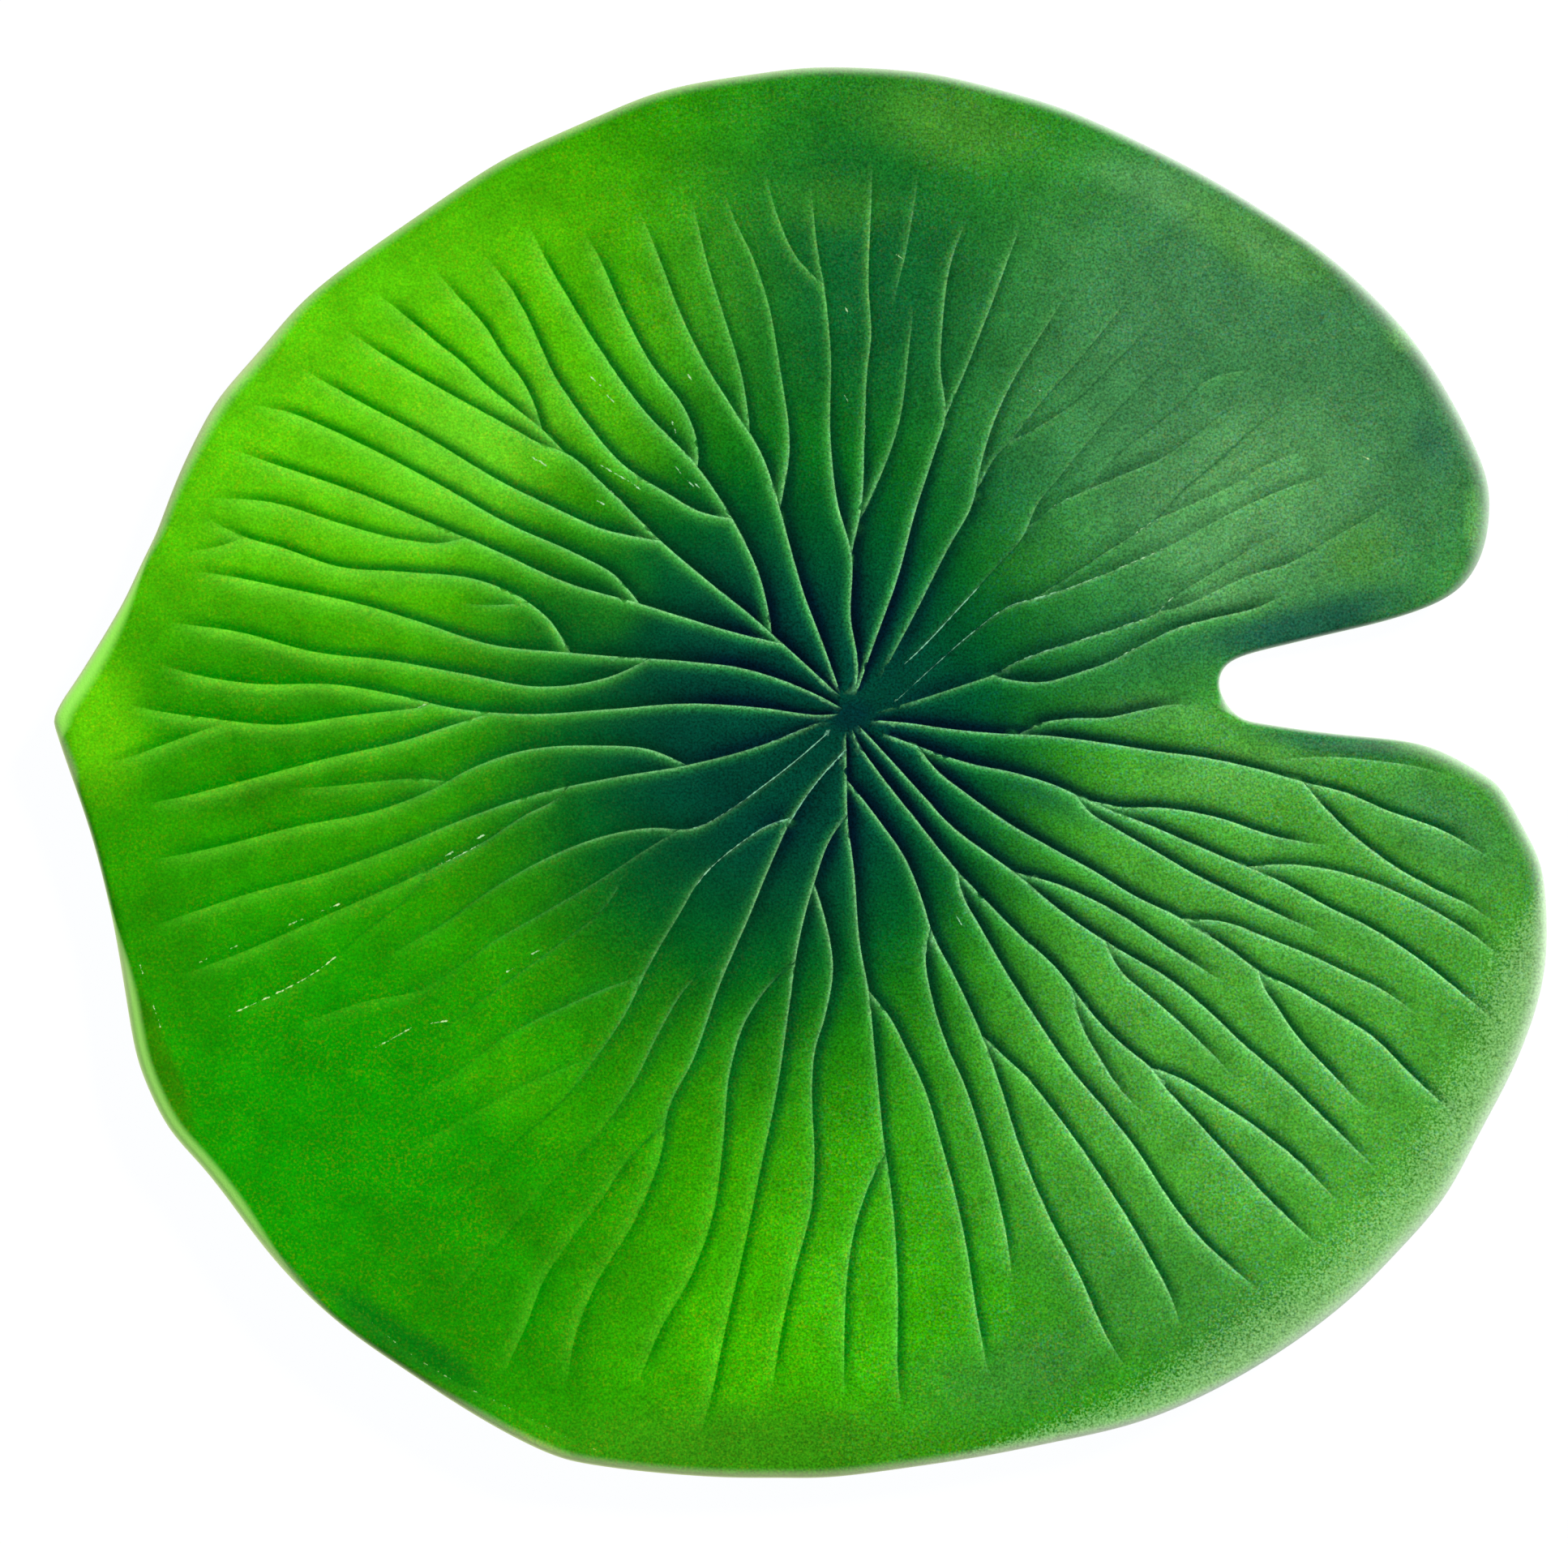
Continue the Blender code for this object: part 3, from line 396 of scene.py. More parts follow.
# The outline, clockwise from the tip. The picture's edge is soft, and the leaf reaches this many
# pixels out beyond the points
BEYOND_PX = 2.5
OUTLINE_PX = (
    (70, 885), (82, 861), (95, 842), (121, 800), (155, 742), (174, 700), (193, 662), (206, 628),
    (225, 580), (252, 525), (278, 483), (325, 430), (373, 373), (434, 324), (496, 280), (556, 239),
    (619, 198), (683, 168), (745, 141), (804, 117), (866, 102), (935, 92), (1001, 84), (1088, 86),
    (1162, 94), (1242, 114), (1304, 132), (1367, 158), (1430, 188), (1493, 221), (1555, 259),
    (1616, 300), (1664, 339), (1705, 379), (1743, 422), (1779, 477), (1809, 533), (1832, 589),
    (1835, 631), (1829, 674), (1808, 715), (1770, 742), (1709, 763), (1646, 778), (1584, 793),
    (1541, 804), (1513, 818), (1504, 842), (1512, 866), (1532, 887), (1564, 895), (1645, 907),
    (1707, 913), (1769, 924), (1828, 957), (1853, 977), (1880, 1027), (1900, 1069), (1906, 1130),
    (1904, 1191), (1890, 1252), (1860, 1327), (1820, 1400), (1780, 1475), (1724, 1538), (1666, 1597),
    (1585, 1659), (1491, 1714), (1399, 1753), (1304, 1775), (1212, 1794), (1119, 1808), (1026, 1820),
    (964, 1820), (897, 1820), (804, 1813), (731, 1803), (682, 1791), (617, 1759), (554, 1721),
    (494, 1681), (432, 1638), (373, 1586), (326, 1534), (284, 1478), (248, 1433), (212, 1393),
    (187, 1345), (171, 1303), (162, 1258), (155, 1217), (144, 1153), (134, 1106), (120, 1048),
    (103, 993), (84, 938), (72, 900),
)

# The veins: how each starts (at the hub, as a fork off another, or free), how strong it is, and its
# points from the start outwards
VEINS_PX = {
    # West
    "w1": ("hub", 1.0, ((1036, 880), (1009, 881), (946, 873), (850, 867), (750, 874), (650, 880),
        (560, 873), (490, 857), (417, 844), (305, 842), (230, 829), (195, 818))),
    "w1a": ("fork", 1.0, ((528, 871), (430, 882), (345, 893), (255, 885), (187, 875), (158, 868))),
    "w1b": ("fork", 0.8, ((285, 890), (250, 900), (193, 921), (150, 936), (130, 940))),
    "w1c": ("fork", 1.0, ((603, 879), (546, 897), (500, 912), (405, 934), (305, 961), (220, 983),
        (180, 991))),
    "w2": ("hub", 1.0, ((1040, 874), (1032, 869), (978, 843), (914, 823), (850, 815), (750, 808),
        (702, 804), (605, 794), (510, 764), (450, 746), (350, 724), (270, 708), (237, 704))),
    "w2a": ("fork", 1.0, ((800, 812), (750, 834), (665, 846), (575, 831), (480, 814), (385, 803),
        (290, 778), (208, 767))),
    "w2b": ("fork", 1.0, ((702, 804), (678, 765), (648, 740), (595, 716), (496, 704), (417, 698),
        (345, 674), (302, 662), (250, 636))),
    "w2c": ("fork", 0.7, ((302, 662), (273, 672), (225, 681))),
    "w2d": ("fork", 0.6, ((652, 742), (595, 745), (565, 742))),
    # North-west
    "nw1": ("hub", 1.0, ((1037, 858), (1000, 824), (966, 793), (930, 761), (880, 721), (815, 666),
        (750, 602), (697, 557), (665, 545), (625, 523), (550, 482), (475, 438), (425, 405))),
    "nw1a": ("fork", 1.0, ((966, 793), (914, 781), (849, 762), (788, 743), (700, 718), (615, 680),
        (528, 643), (430, 603), (330, 569), (285, 553))),
    "nw1b": ("fork", 0.9, ((572, 661), (546, 668), (500, 665), (417, 644), (335, 619), (257, 613))),
    "nw1c": ("fork", 1.0, ((788, 742), (755, 706), (715, 684), (625, 644), (540, 596), (450, 549),
        (401, 526), (360, 509), (310, 498))),
    "nw1d": ("fork", 1.0, ((813, 666), (737, 649), (690, 628), (600, 583), (546, 550), (500, 524),
        (452, 499), (410, 476), (370, 452))),
    "nw1e": ("fork", 1.0, ((697, 557), (661, 522), (633, 500), (601, 475), (569, 445), (537, 420),
        (499, 388), (461, 358))),
    "nw1f": ("fork", 1.0, ((668, 528), (660, 502), (645, 470), (622, 440), (597, 400), (565, 365),
        (535, 330))),
    "nw1g": ("fork", 1.0, ((953, 779), (938, 712), (903, 638), (861, 575), (793, 503), (742, 433),
        (704, 372), (669, 311), (652, 275))),
    "nw1h": ("fork", 1.0, ((903, 638), (865, 630), (820, 605), (770, 573), (727, 525), (704, 493),
        (682, 460), (666, 425), (650, 390), (628, 352), (597, 313))),
    "nw1i": ("fork", 1.0, ((862, 572), (860, 545), (843, 500), (805, 450), (768, 382), (736, 311),
        (719, 283))),
    # North
    "n1": ("hub", 1.0, ((1038, 856), (1017, 797), (991, 728), (972, 662), (962, 625), (938, 555),
        (905, 503), (867, 442), (838, 382), (816, 324), (789, 257))),
    "n1a": ("fork", 1.0, ((926, 530), (915, 461), (892, 385), (873, 324), (853, 240))),
    "n1b": ("fork", 1.0, ((963, 625), (974, 555), (962, 450), (947, 369), (927, 311), (908, 273),
        (894, 235))),
    "n2": ("hub", 1.0, ((1056, 850), (1059, 832), (1050, 760), (1051, 682), (1034, 620), (1025, 540),
        (1025, 430), (1018, 358), (1009, 305), (1001, 228))),
    "n2a": ("fork", 0.9, ((1014, 348), (985, 318), (960, 266), (944, 210))),
    "n2b": ("fork", 1.0, ((1051, 682), (1063, 625), (1067, 540), (1071, 450), (1075, 418), (1072, 350),
        (1075, 255), (1077, 200))),
    "n2c": ("fork", 0.8, ((1062, 640), (1083, 595), (1109, 523), (1122, 430), (1128, 375))),
    "n2d": ("free", 0.5, ((1101, 380), (1109, 347), (1119, 305), (1127, 260), (1135, 208))),
    "n3": ("hub", 1.0, ((1056, 858), (1080, 790), (1108, 712), (1130, 630), (1155, 553), (1167, 515),
        (1161, 450), (1163, 405), (1176, 315), (1194, 268))),
    "n3a": ("fork", 0.9, ((1167, 513), (1190, 460), (1216, 395), (1244, 320), (1262, 270))),
    # North-east, pressed lightly
    "ne1": ("free", 0.8, ((1086, 837), (1126, 763), (1168, 680), (1203, 613), (1209, 582), (1225, 525),
        (1258, 455), (1280, 420), (1319, 358))),
    "ne1a": ("fork", 0.7, ((1207, 603), (1229, 563), (1250, 540), (1282, 499), (1323, 453), (1372, 394),
        (1401, 356))),
    "ne1b": ("fork", 0.6, ((1250, 540), (1282, 524), (1326, 495), (1371, 451), (1433, 391))),
    "ne2": ("free", 0.5, ((1092, 840), (1137, 799), (1182, 751), (1226, 703), (1265, 658), (1280, 623),
        (1310, 585), (1352, 534), (1397, 486), (1435, 449), (1475, 413))),
    "ne2a": ("fork", 0.5, ((1272, 648), (1296, 626), (1346, 601), (1390, 582), (1429, 566), (1470, 539),
        (1505, 513), (1543, 489))),
    "ne2b": ("fork", 0.4, ((1346, 601), (1377, 562), (1422, 527), (1457, 497), (1487, 469),
        (1550, 452))),
    "ne3": ("free", 0.5, ((1108, 862), (1156, 818), (1201, 779), (1252, 744), (1275, 738), (1320, 724),
        (1371, 704), (1425, 681), (1457, 665), (1492, 646), (1543, 620), (1598, 597), (1647, 583))),
    "ne3a": ("fork", 0.6, ((1275, 738), (1314, 713), (1355, 686), (1409, 652), (1430, 637), (1457, 607),
        (1492, 578), (1550, 527), (1601, 491))),
    "ne3b": ("fork", 0.4, ((1428, 639), (1470, 621), (1521, 597), (1563, 572), (1620, 551))),
    "ne4": ("free", 0.6, ((1080, 878), (1137, 861), (1201, 840), (1225, 832), (1250, 818), (1288, 803),
        (1339, 787), (1390, 770), (1429, 755), (1448, 736), (1486, 712), (1521, 690), (1562, 665),
        (1588, 652))),
    "ne4a": ("fork", 0.5, ((1432, 753), (1467, 744), (1502, 727), (1539, 710), (1595, 692), (1635, 668),
        (1691, 636), (1720, 616), (1740, 600))),
    "ne4b": ("fork", 0.8, ((1225, 832), (1250, 838), (1290, 840), (1328, 830), (1371, 815), (1409, 795),
        (1448, 776), (1499, 761), (1547, 750), (1598, 726))),
    "ne4c": ("free", 0.3, ((1695, 697), (1728, 684), (1749, 673))),
    # East
    "e1": ("hub", 1.0, ((1074, 887), (1086, 888), (1121, 891), (1169, 898), (1233, 904), (1296, 907),
        (1365, 916), (1429, 926), (1489, 934), (1553, 948), (1610, 964), (1661, 977), (1715, 1000),
        (1777, 1022), (1839, 1057))),
    "e1a": ("fork", 1.0, ((1610, 964), (1632, 991), (1675, 1033), (1725, 1070), (1775, 1098),
        (1817, 1118), (1842, 1136))),
    "e1b": ("fork", 0.9, ((1259, 906), (1277, 894), (1315, 886), (1370, 884), (1415, 874), (1458, 868),
        (1480, 871))),
    # South-east
    "se1": ("hub", 1.0, ((1089, 903), (1131, 919), (1201, 942), (1250, 952), (1305, 969), (1340, 985),
        (1378, 994), (1435, 996), (1511, 1010), (1563, 1028), (1613, 1039), (1645, 1043))),
    "se1a": ("fork", 1.0, ((1343, 987), (1377, 1001), (1416, 1016), (1467, 1038), (1518, 1060),
        (1562, 1078), (1601, 1097), (1639, 1118), (1690, 1143), (1741, 1175), (1802, 1223),
        (1845, 1260))),
    "se1b": ("fork", 0.9, ((1540, 1069), (1588, 1066), (1645, 1073), (1696, 1088), (1747, 1111),
        (1808, 1146), (1857, 1183))),
    "se1c": ("fork", 1.0, ((1329, 980), (1343, 999), (1377, 1021), (1429, 1051), (1479, 1080),
        (1530, 1105), (1582, 1129), (1635, 1152))),
    "se2": ("fork", 1.0, ((1133, 920), (1156, 949), (1194, 979), (1242, 1013), (1301, 1047),
        (1352, 1075), (1403, 1106), (1454, 1131), (1480, 1147), (1524, 1175), (1556, 1199),
        (1594, 1217), (1645, 1247), (1696, 1280), (1746, 1330), (1799, 1378))),
    "se2a": ("fork", 0.9, ((1460, 1134), (1511, 1137), (1562, 1156), (1613, 1176), (1664, 1200),
        (1715, 1226), (1750, 1252))),
    "se2b": ("fork", 1.0, ((1555, 1198), (1559, 1214), (1575, 1240), (1604, 1281), (1645, 1325),
        (1688, 1371))),
    "se3": ("hub", 1.0, ((1058, 893), (1068, 903), (1099, 936), (1137, 978), (1175, 1019), (1226, 1057),
        (1255, 1078), (1295, 1112), (1346, 1149), (1388, 1175), (1438, 1204), (1483, 1239),
        (1534, 1287), (1585, 1331), (1638, 1383), (1696, 1440))),
    "se3a": ("fork", 1.0, ((1253, 1076), (1295, 1087), (1346, 1108), (1397, 1137), (1448, 1172),
        (1499, 1204), (1515, 1214))),
    "se3b": ("fork", 0.9, ((1366, 1162), (1373, 1180), (1390, 1205), (1416, 1226), (1467, 1271),
        (1505, 1309), (1524, 1329))),
    "se4": ("hub", 1.0, ((1051, 898), (1057, 911), (1089, 958), (1127, 1006), (1182, 1074),
        (1217, 1111), (1265, 1159), (1301, 1191), (1325, 1220), (1346, 1248), (1387, 1290),
        (1422, 1319), (1438, 1341), (1477, 1383), (1521, 1431), (1559, 1472), (1598, 1510),
        (1631, 1540))),
    "se4a": ("fork", 1.0, ((1422, 1318), (1454, 1329), (1505, 1360), (1556, 1395), (1604, 1434),
        (1653, 1484))),
    "se4b": ("fork", 0.9, ((1325, 1220), (1333, 1258), (1356, 1303), (1388, 1350), (1414, 1375))),
    "se5": ("fork", 1.0, ((1182, 1074), (1188, 1102), (1210, 1143), (1247, 1207), (1286, 1267),
        (1324, 1322), (1365, 1370), (1407, 1424), (1442, 1478), (1477, 1523), (1521, 1564),
        (1556, 1593))),
    # South
    "s1": ("hub", 1.0, ((1044, 901), (1045, 952), (1046, 1008), (1054, 1073), (1062, 1169),
        (1072, 1223), (1078, 1280), (1085, 1351), (1091, 1410), (1095, 1436), (1104, 1510),
        (1108, 1597), (1108, 1695), (1112, 1746))),
    "s1a": ("fork", 1.0, ((1046, 962), (1083, 1009), (1118, 1060), (1140, 1115), (1152, 1154),
        (1175, 1198), (1201, 1252), (1217, 1290), (1236, 1343), (1257, 1410), (1293, 1497),
        (1332, 1573), (1367, 1651), (1387, 1683))),
    "s1b": ("fork", 1.0, ((1213, 1278), (1239, 1303), (1265, 1327), (1290, 1357), (1330, 1410),
        (1365, 1461), (1397, 1512), (1426, 1563), (1449, 1610), (1456, 1635))),
    "s1c": ("fork", 1.0, ((1149, 1145), (1143, 1175), (1151, 1233), (1169, 1290), (1190, 1337),
        (1211, 1400), (1234, 1486), (1246, 1549), (1249, 1584))),
    "s1d": ("fork", 1.0, ((1091, 1425), (1075, 1458), (1055, 1517), (1046, 1570), (1042, 1648),
        (1042, 1729))),
    "s1e": ("fork", 1.0, ((1072, 1223), (1096, 1252), (1121, 1300), (1139, 1338), (1161, 1408),
        (1180, 1478), (1194, 1545), (1204, 1611), (1221, 1702))),
    "s2": ("fork", 1.0, ((1046, 1005), (1025, 1035), (1006, 1086), (987, 1156), (973, 1249),
        (958, 1350), (940, 1435), (917, 1545), (895, 1640), (873, 1740), (863, 1772))),
    "s2a": ("fork", 1.0, ((1005, 1090), (1019, 1137), (1028, 1194), (1019, 1252), (1005, 1300),
        (1002, 1341), (1005, 1434), (1002, 1485), (981, 1568), (963, 1648), (951, 1729))),
    "s2b": ("fork", 1.0, ((981, 1186), (950, 1216), (920, 1260), (900, 1325), (892, 1410), (878, 1505),
        (850, 1580), (815, 1640), (786, 1710))),
    # South-west
    "sw1": ("fork", 0.9, ((1044, 924), (1013, 958), (978, 1008), (955, 1057), (923, 1134), (888, 1215),
        (855, 1308), (823, 1373), (816, 1420), (801, 1466), (772, 1526), (737, 1581), (711, 1644),
        (699, 1712))),
    "sw1a": ("fork", 0.9, ((818, 1388), (775, 1431), (743, 1479), (708, 1525), (672, 1577), (649, 1635),
        (619, 1700))),
    "sw1b": ("fork", 0.7, ((978, 1008), (950, 1017), (912, 1041), (866, 1082), (838, 1128), (803, 1187),
        (769, 1255), (737, 1303), (705, 1345), (625, 1420), (558, 1486), (485, 1549))),
    "sw1c": ("free", 0.7, ((893, 1180), (850, 1215), (815, 1270), (780, 1340), (735, 1403), (675, 1466),
        (620, 1528), (565, 1592), (549, 1616))),
    "sw2": ("hub", 0.7, ((1022, 903), (984, 936), (939, 971), (910, 992), (853, 1022), (801, 1021),
        (737, 1033), (680, 1055), (603, 1098), (546, 1139), (466, 1184))),
    "sw2a": ("fork", 0.5, ((836, 1023), (794, 1049), (737, 1086), (667, 1127), (603, 1164), (555, 1199),
        (514, 1222), (450, 1235), (353, 1269))),
    "sw2b": ("fork", 0.4, ((549, 1203), (512, 1238), (450, 1277))),
    "sw2c": ("free", 0.5, ((772, 1076), (748, 1117), (700, 1156), (640, 1200), (575, 1247),
        (505, 1300))),
    "sw2d": ("free", 0.5, ((793, 1203), (750, 1218), (699, 1240), (625, 1277), (565, 1320),
        (490, 1365))),
    "sw2e": ("free", 0.4, ((735, 1303), (692, 1319), (641, 1341), (562, 1385), (504, 1418),
        (476, 1441))),
    "sw2f": ("free", 0.3, ((356, 1280), (305, 1306), (273, 1325))),
    "sw3": ("hub", 0.8, ((1015, 888), (950, 915), (848, 943), (753, 959), (657, 980), (578, 1007),
        (498, 1040), (401, 1076), (305, 1102), (187, 1142))),
    "sw3a": ("fork", 0.9, ((848, 943), (801, 924), (737, 919), (641, 926), (578, 948), (530, 974),
        (465, 999), (369, 1018), (241, 1050), (185, 1060))),
    "sw3b": ("fork", 0.6, ((550, 963), (514, 960), (450, 965), (385, 971), (350, 972))),
    "sw3c": ("fork", 0.9, ((700, 970), (686, 984), (648, 1004), (584, 1045), (498, 1086), (401, 1129),
        (305, 1171), (222, 1203))),
    "sw3d": ("fork", 0.7, ((530, 1072), (496, 1112), (450, 1148), (382, 1203), (347, 1222),
        (286, 1250))),
    # Beside the rim
    "seam": ("free", 0.15, ((396, 1581), (446, 1618), (507, 1668), (557, 1699), (619, 1730),
        (668, 1755), (743, 1789), (760, 1793))),
    "lobe": ("free", 0.4, ((1560, 938), (1605, 934), (1650, 933), (1700, 938), (1750, 945),
        (1800, 960))),
}

# Pale scuffs along creases, where the green skin has cracked: the vein, the picture pixels that the
# scuff runs between, and how strong it is
CREASE_SCUFFS = (
    ("sw2", (1018, 905), (925, 983), 1.0),
    ("sw2", (925, 983), (850, 1022), 0.7),
    ("sw1", (1040, 927), (975, 1008), 1.0),
    ("sw1b", (972, 1010), (860, 1088), 0.9),
    ("sw3", (1010, 890), (930, 918), 0.7),
    ("ne2", (1120, 812), (1205, 727), 1.0),
    ("ne3", (1107, 862), (1118, 852), 0.8),
    ("ne3", (1130, 841), (1438, 674), 0.8),
    ("ne4", (1250, 818), (1448, 735), 0.8),
    ("ne4b", (1328, 830), (1499, 760), 0.7),
    ("ne4b", (1499, 760), (1560, 746), 0.5),
    ("ne1", (1140, 735), (1200, 620), 0.4),
    ("ne2a", (1296, 626), (1330, 606), 0.6),
    ("ne3a", (1400, 655), (1425, 640), 0.7),
    ("sw3d", (410, 1187), (290, 1241), 0.9),
    ("sw3c", (584, 1045), (540, 1064), 0.9),
    ("nw1", (775, 625), (740, 594), 0.6),
    ("nw1f", (668, 540), (655, 490), 0.4),
    ("nw1g", (862, 575), (826, 530), 0.5),
    ("n2b", (1066, 560), (1068, 500), 0.5),
    ("n2c", (1062, 640), (1075, 610), 0.5),
    ("seam", (400, 1584), (755, 1792), 0.5),
)

# Short pale nicks
NICKS_PX = (
    ((664, 567), (672, 573)), ((740, 572), (757, 582), (775, 592)), ((736, 616), (745, 621)),
    ((848, 460), (853, 468)), ((827, 512), (833, 532)), ((856, 594), (862, 600)),
    ((1042, 485), (1046, 493)), ((1043, 377), (1046, 384)), ((1106, 312), (1116, 318)),
    ((1678, 560), (1689, 565)), ((530, 1263), (550, 1260)), ((655, 1177), (664, 1173)),
    ((624, 1199), (634, 1194)), ((585, 1035), (596, 1030)), ((548, 1056), (557, 1051)),
    ((461, 1293), (484, 1281), (506, 1268)), ((1180, 1130), (1187, 1141)),
    ((173, 1190), (176, 1200)), ((189, 1238), (193, 1250)), ((196, 1258), (198, 1266)),
    ((1277, 475), (1284, 480)), ((1260, 490), (1265, 494)), ((514, 872), (524, 868)),
    ((417, 1115), (395, 1124)), ((372, 1134), (355, 1141)), ((292, 1166), (284, 1170)),
    ((254, 1183), (246, 1187)), ((832, 573), (840, 583)), ((846, 590), (857, 600)),
    ((727, 462), (740, 474)), ((748, 486), (756, 494)), ((778, 594), (789, 602)),
    ((655, 562), (661, 566)),
)


def to_leaf(points):
    """Picture pixels as metres from the hub, with Y up."""
    scale = LEAF_LENGTH / LENGTH_PX
    return (np.array(points, float) - HUB_PX) * (scale, -scale)


def travelled(points):
    """The distance from the first point to each point, along the line."""
    steps = np.linalg.norm(np.diff(points, axis=0), axis=1)
    return np.append(0, np.cumsum(steps))


def curve_through(points, at):
    """A cubic curve through the points, read at the given distances along them."""
    knots = travelled(points)
    slopes = np.gradient(points, knots, axis=0)
    first = np.clip(np.searchsorted(knots, at, side="right") - 1, 0, len(knots) - 2)
    span = (knots[first + 1] - knots[first])[:, None]
    u = ((at - knots[first]) / span[:, 0])[:, None]
    start_share = (1 + 2 * u) * (1 - u) ** 2
    start_slope = u * (1 - u) ** 2 * span
    end_share = u**2 * (3 - 2 * u)
    end_slope = u**2 * (u - 1) * span
    return (
        start_share * points[first]
        + start_slope * slopes[first]
        + end_share * points[first + 1]
        + end_slope * slopes[first + 1]
    )


def open_curve(points, step):
    """Points about a step apart on a cubic curve through the given ones."""
    length = travelled(points)[-1]
    return curve_through(points, np.linspace(0, length, math.ceil(length / step) + 1))


def closed_curve(points, count):
    """Evenly spaced points on a closed cubic B-spline that passes close by the given ones."""
    points = points - (np.roll(points, 1, axis=0) - 2 * points + np.roll(points, -1, axis=0)) / 6
    at = np.linspace(0, len(points), CURVE_STEPS * len(points), endpoint=False)
    first = at.astype(int)
    u = at - first
    shares = ((1 - u) ** 3, 3 * u**3 - 6 * u**2 + 4, 3 * (u + u**2 - u**3) + 1, u**3)
    curve = np.zeros((len(at), 2))
    for number, share in enumerate(shares):
        curve += share[:, None] / 6 * points[(first + number - 1) % len(points)]
    knots = travelled(np.vstack([curve, curve[:1]]))
    even = np.linspace(0, knots[-1], count, endpoint=False)
    return np.column_stack([np.interp(even, knots[:-1], curve[:, axis]) for axis in (0, 1)])


def distance_to_line(points, line):
    """Each point's distance to a line, how far along the line that is, and the way from there."""
    starts = line[:-1]
    runs = np.diff(line, axis=0)
    lengths = np.linalg.norm(runs, axis=1)
    to_points = points[:, None] - starts[None]
    share = np.clip((to_points * runs).sum(2) / lengths**2, 0, 1)
    away = to_points - share[..., None] * runs
    gaps = np.linalg.norm(away, axis=2)
    nearest = gaps.argmin(1)
    row = np.arange(len(points))
    along = travelled(line)[nearest] + share[row, nearest] * lengths[nearest]
    return gaps[row, nearest], along, away[row, nearest]


def smooth_step(value):
    held = np.clip(value, 0, 1)
    return held * held * (3 - 2 * held)


def between(degrees, low, high, ramp=RAMP_DEG):
    """One inside a stretch of the rim, falling to nothing over a ramp beyond its ends."""
    return smooth_step((degrees - low) / ramp + 1) * smooth_step((high - degrees) / ramp + 1)


def bearing(points):
    """Degrees round the hub from +X, anticlockwise, from 0 to 360."""
    return np.degrees(np.arctan2(points[:, 1], points[:, 0])) % 360


def underside(points):
    """Height of the lower face: flat in the middle, then a shallow dish with a wavy rim."""
    out = np.hypot(points[:, 0], points[:, 1])
    share = np.clip((out - FLAT_RADIUS) / (RISE_RADIUS - FLAT_RADIUS), 0, None)
    waves = WAVE * np.sin(np.radians(bearing(points)) * WAVES)
    return (RISE + waves) * share**2


def roll_width(points):
    """How far in from the outline the top starts to round over."""
    degrees = bearing(points)
    fold = between(degrees, FOLD_FROM_DEG, FOLD_TO_DEG)
    tip = between(degrees, TIP_FROM_DEG, TIP_TO_DEG)
    return ROLL + ROLL_FOLD * fold + ROLL_TIP * tip


def edge_share(points):
    """Height of the outermost edge over the underside, as a share of the sheet."""
    fold = between(bearing(points), FOLD_FROM_DEG, FOLD_TO_DEG)
    return EDGE_HEIGHT + (FOLD_HEIGHT - EDGE_HEIGHT) * fold


def near(points, line, reach):
    """The numbers of the points within reach of the line's box."""
    low = line.min(0) - reach
    high = line.max(0) + reach
    return np.flatnonzero(((points > low) & (points < high)).all(1))


class Vein:
    """A pressed crease: its line from its start outwards, how it starts, and its strength."""

    def __init__(self, name, start, strength, line):
        self.name = name
        self.start = start
        self.strength = strength
        self.line = line

    def pressed(self, along):
        """At distances along it: depth and spread, widths of painted shade and painted highlight bands,
        their strength.
        """
        length = travelled(self.line)[-1]
        place = curve_through(self.line, along)
        out = np.clip(np.hypot(place[:, 0], place[:, 1]) / FADE_RADIUS, 0, 1)
        depth = HUB_DEPTH + (RIM_DEPTH - HUB_DEPTH) * out
        spread = HUB_SPREAD + (RIM_SPREAD - HUB_SPREAD) * out
        gap = np.linalg.norm(place - to_leaf(QUIET_PX), axis=1)
        quiet = 1 - QUIET_SHARE * smooth_step(2 - 2 * gap / QUIET_REACH)
        narrow = quiet * np.clip(out * FADE_RADIUS / HUB_NARROW, LEAST_BAND, 1)
        dark = narrow * (HUB_SHADE_WIDTH + (RIM_SHADE_WIDTH - HUB_SHADE_WIDTH) * out)
        pale = narrow * (HUB_HIGHLIGHT_WIDTH + (RIM_HIGHLIGHT_WIDTH - HUB_HIGHLIGHT_WIDTH) * out)
        depth = depth * quiet * self.strength * np.clip((length - along) / TIP_FADE, 0, 1)
        paint = quiet * self.strength * np.clip((length - along) / PAINT_FADE, 0, 1)
        if self.start == "hub":
            depth = depth * np.clip(along / HUB_FADE, 0, 1)
            paint = paint * np.clip(2 * along / HUB_FADE, 0, 1)
        if self.start == "free":
            depth = depth * np.clip(along / TIP_FADE, 0, 1)
            paint = paint * np.clip(along / PAINT_FADE, 0, 1)
        return depth, spread, dark, pale, paint


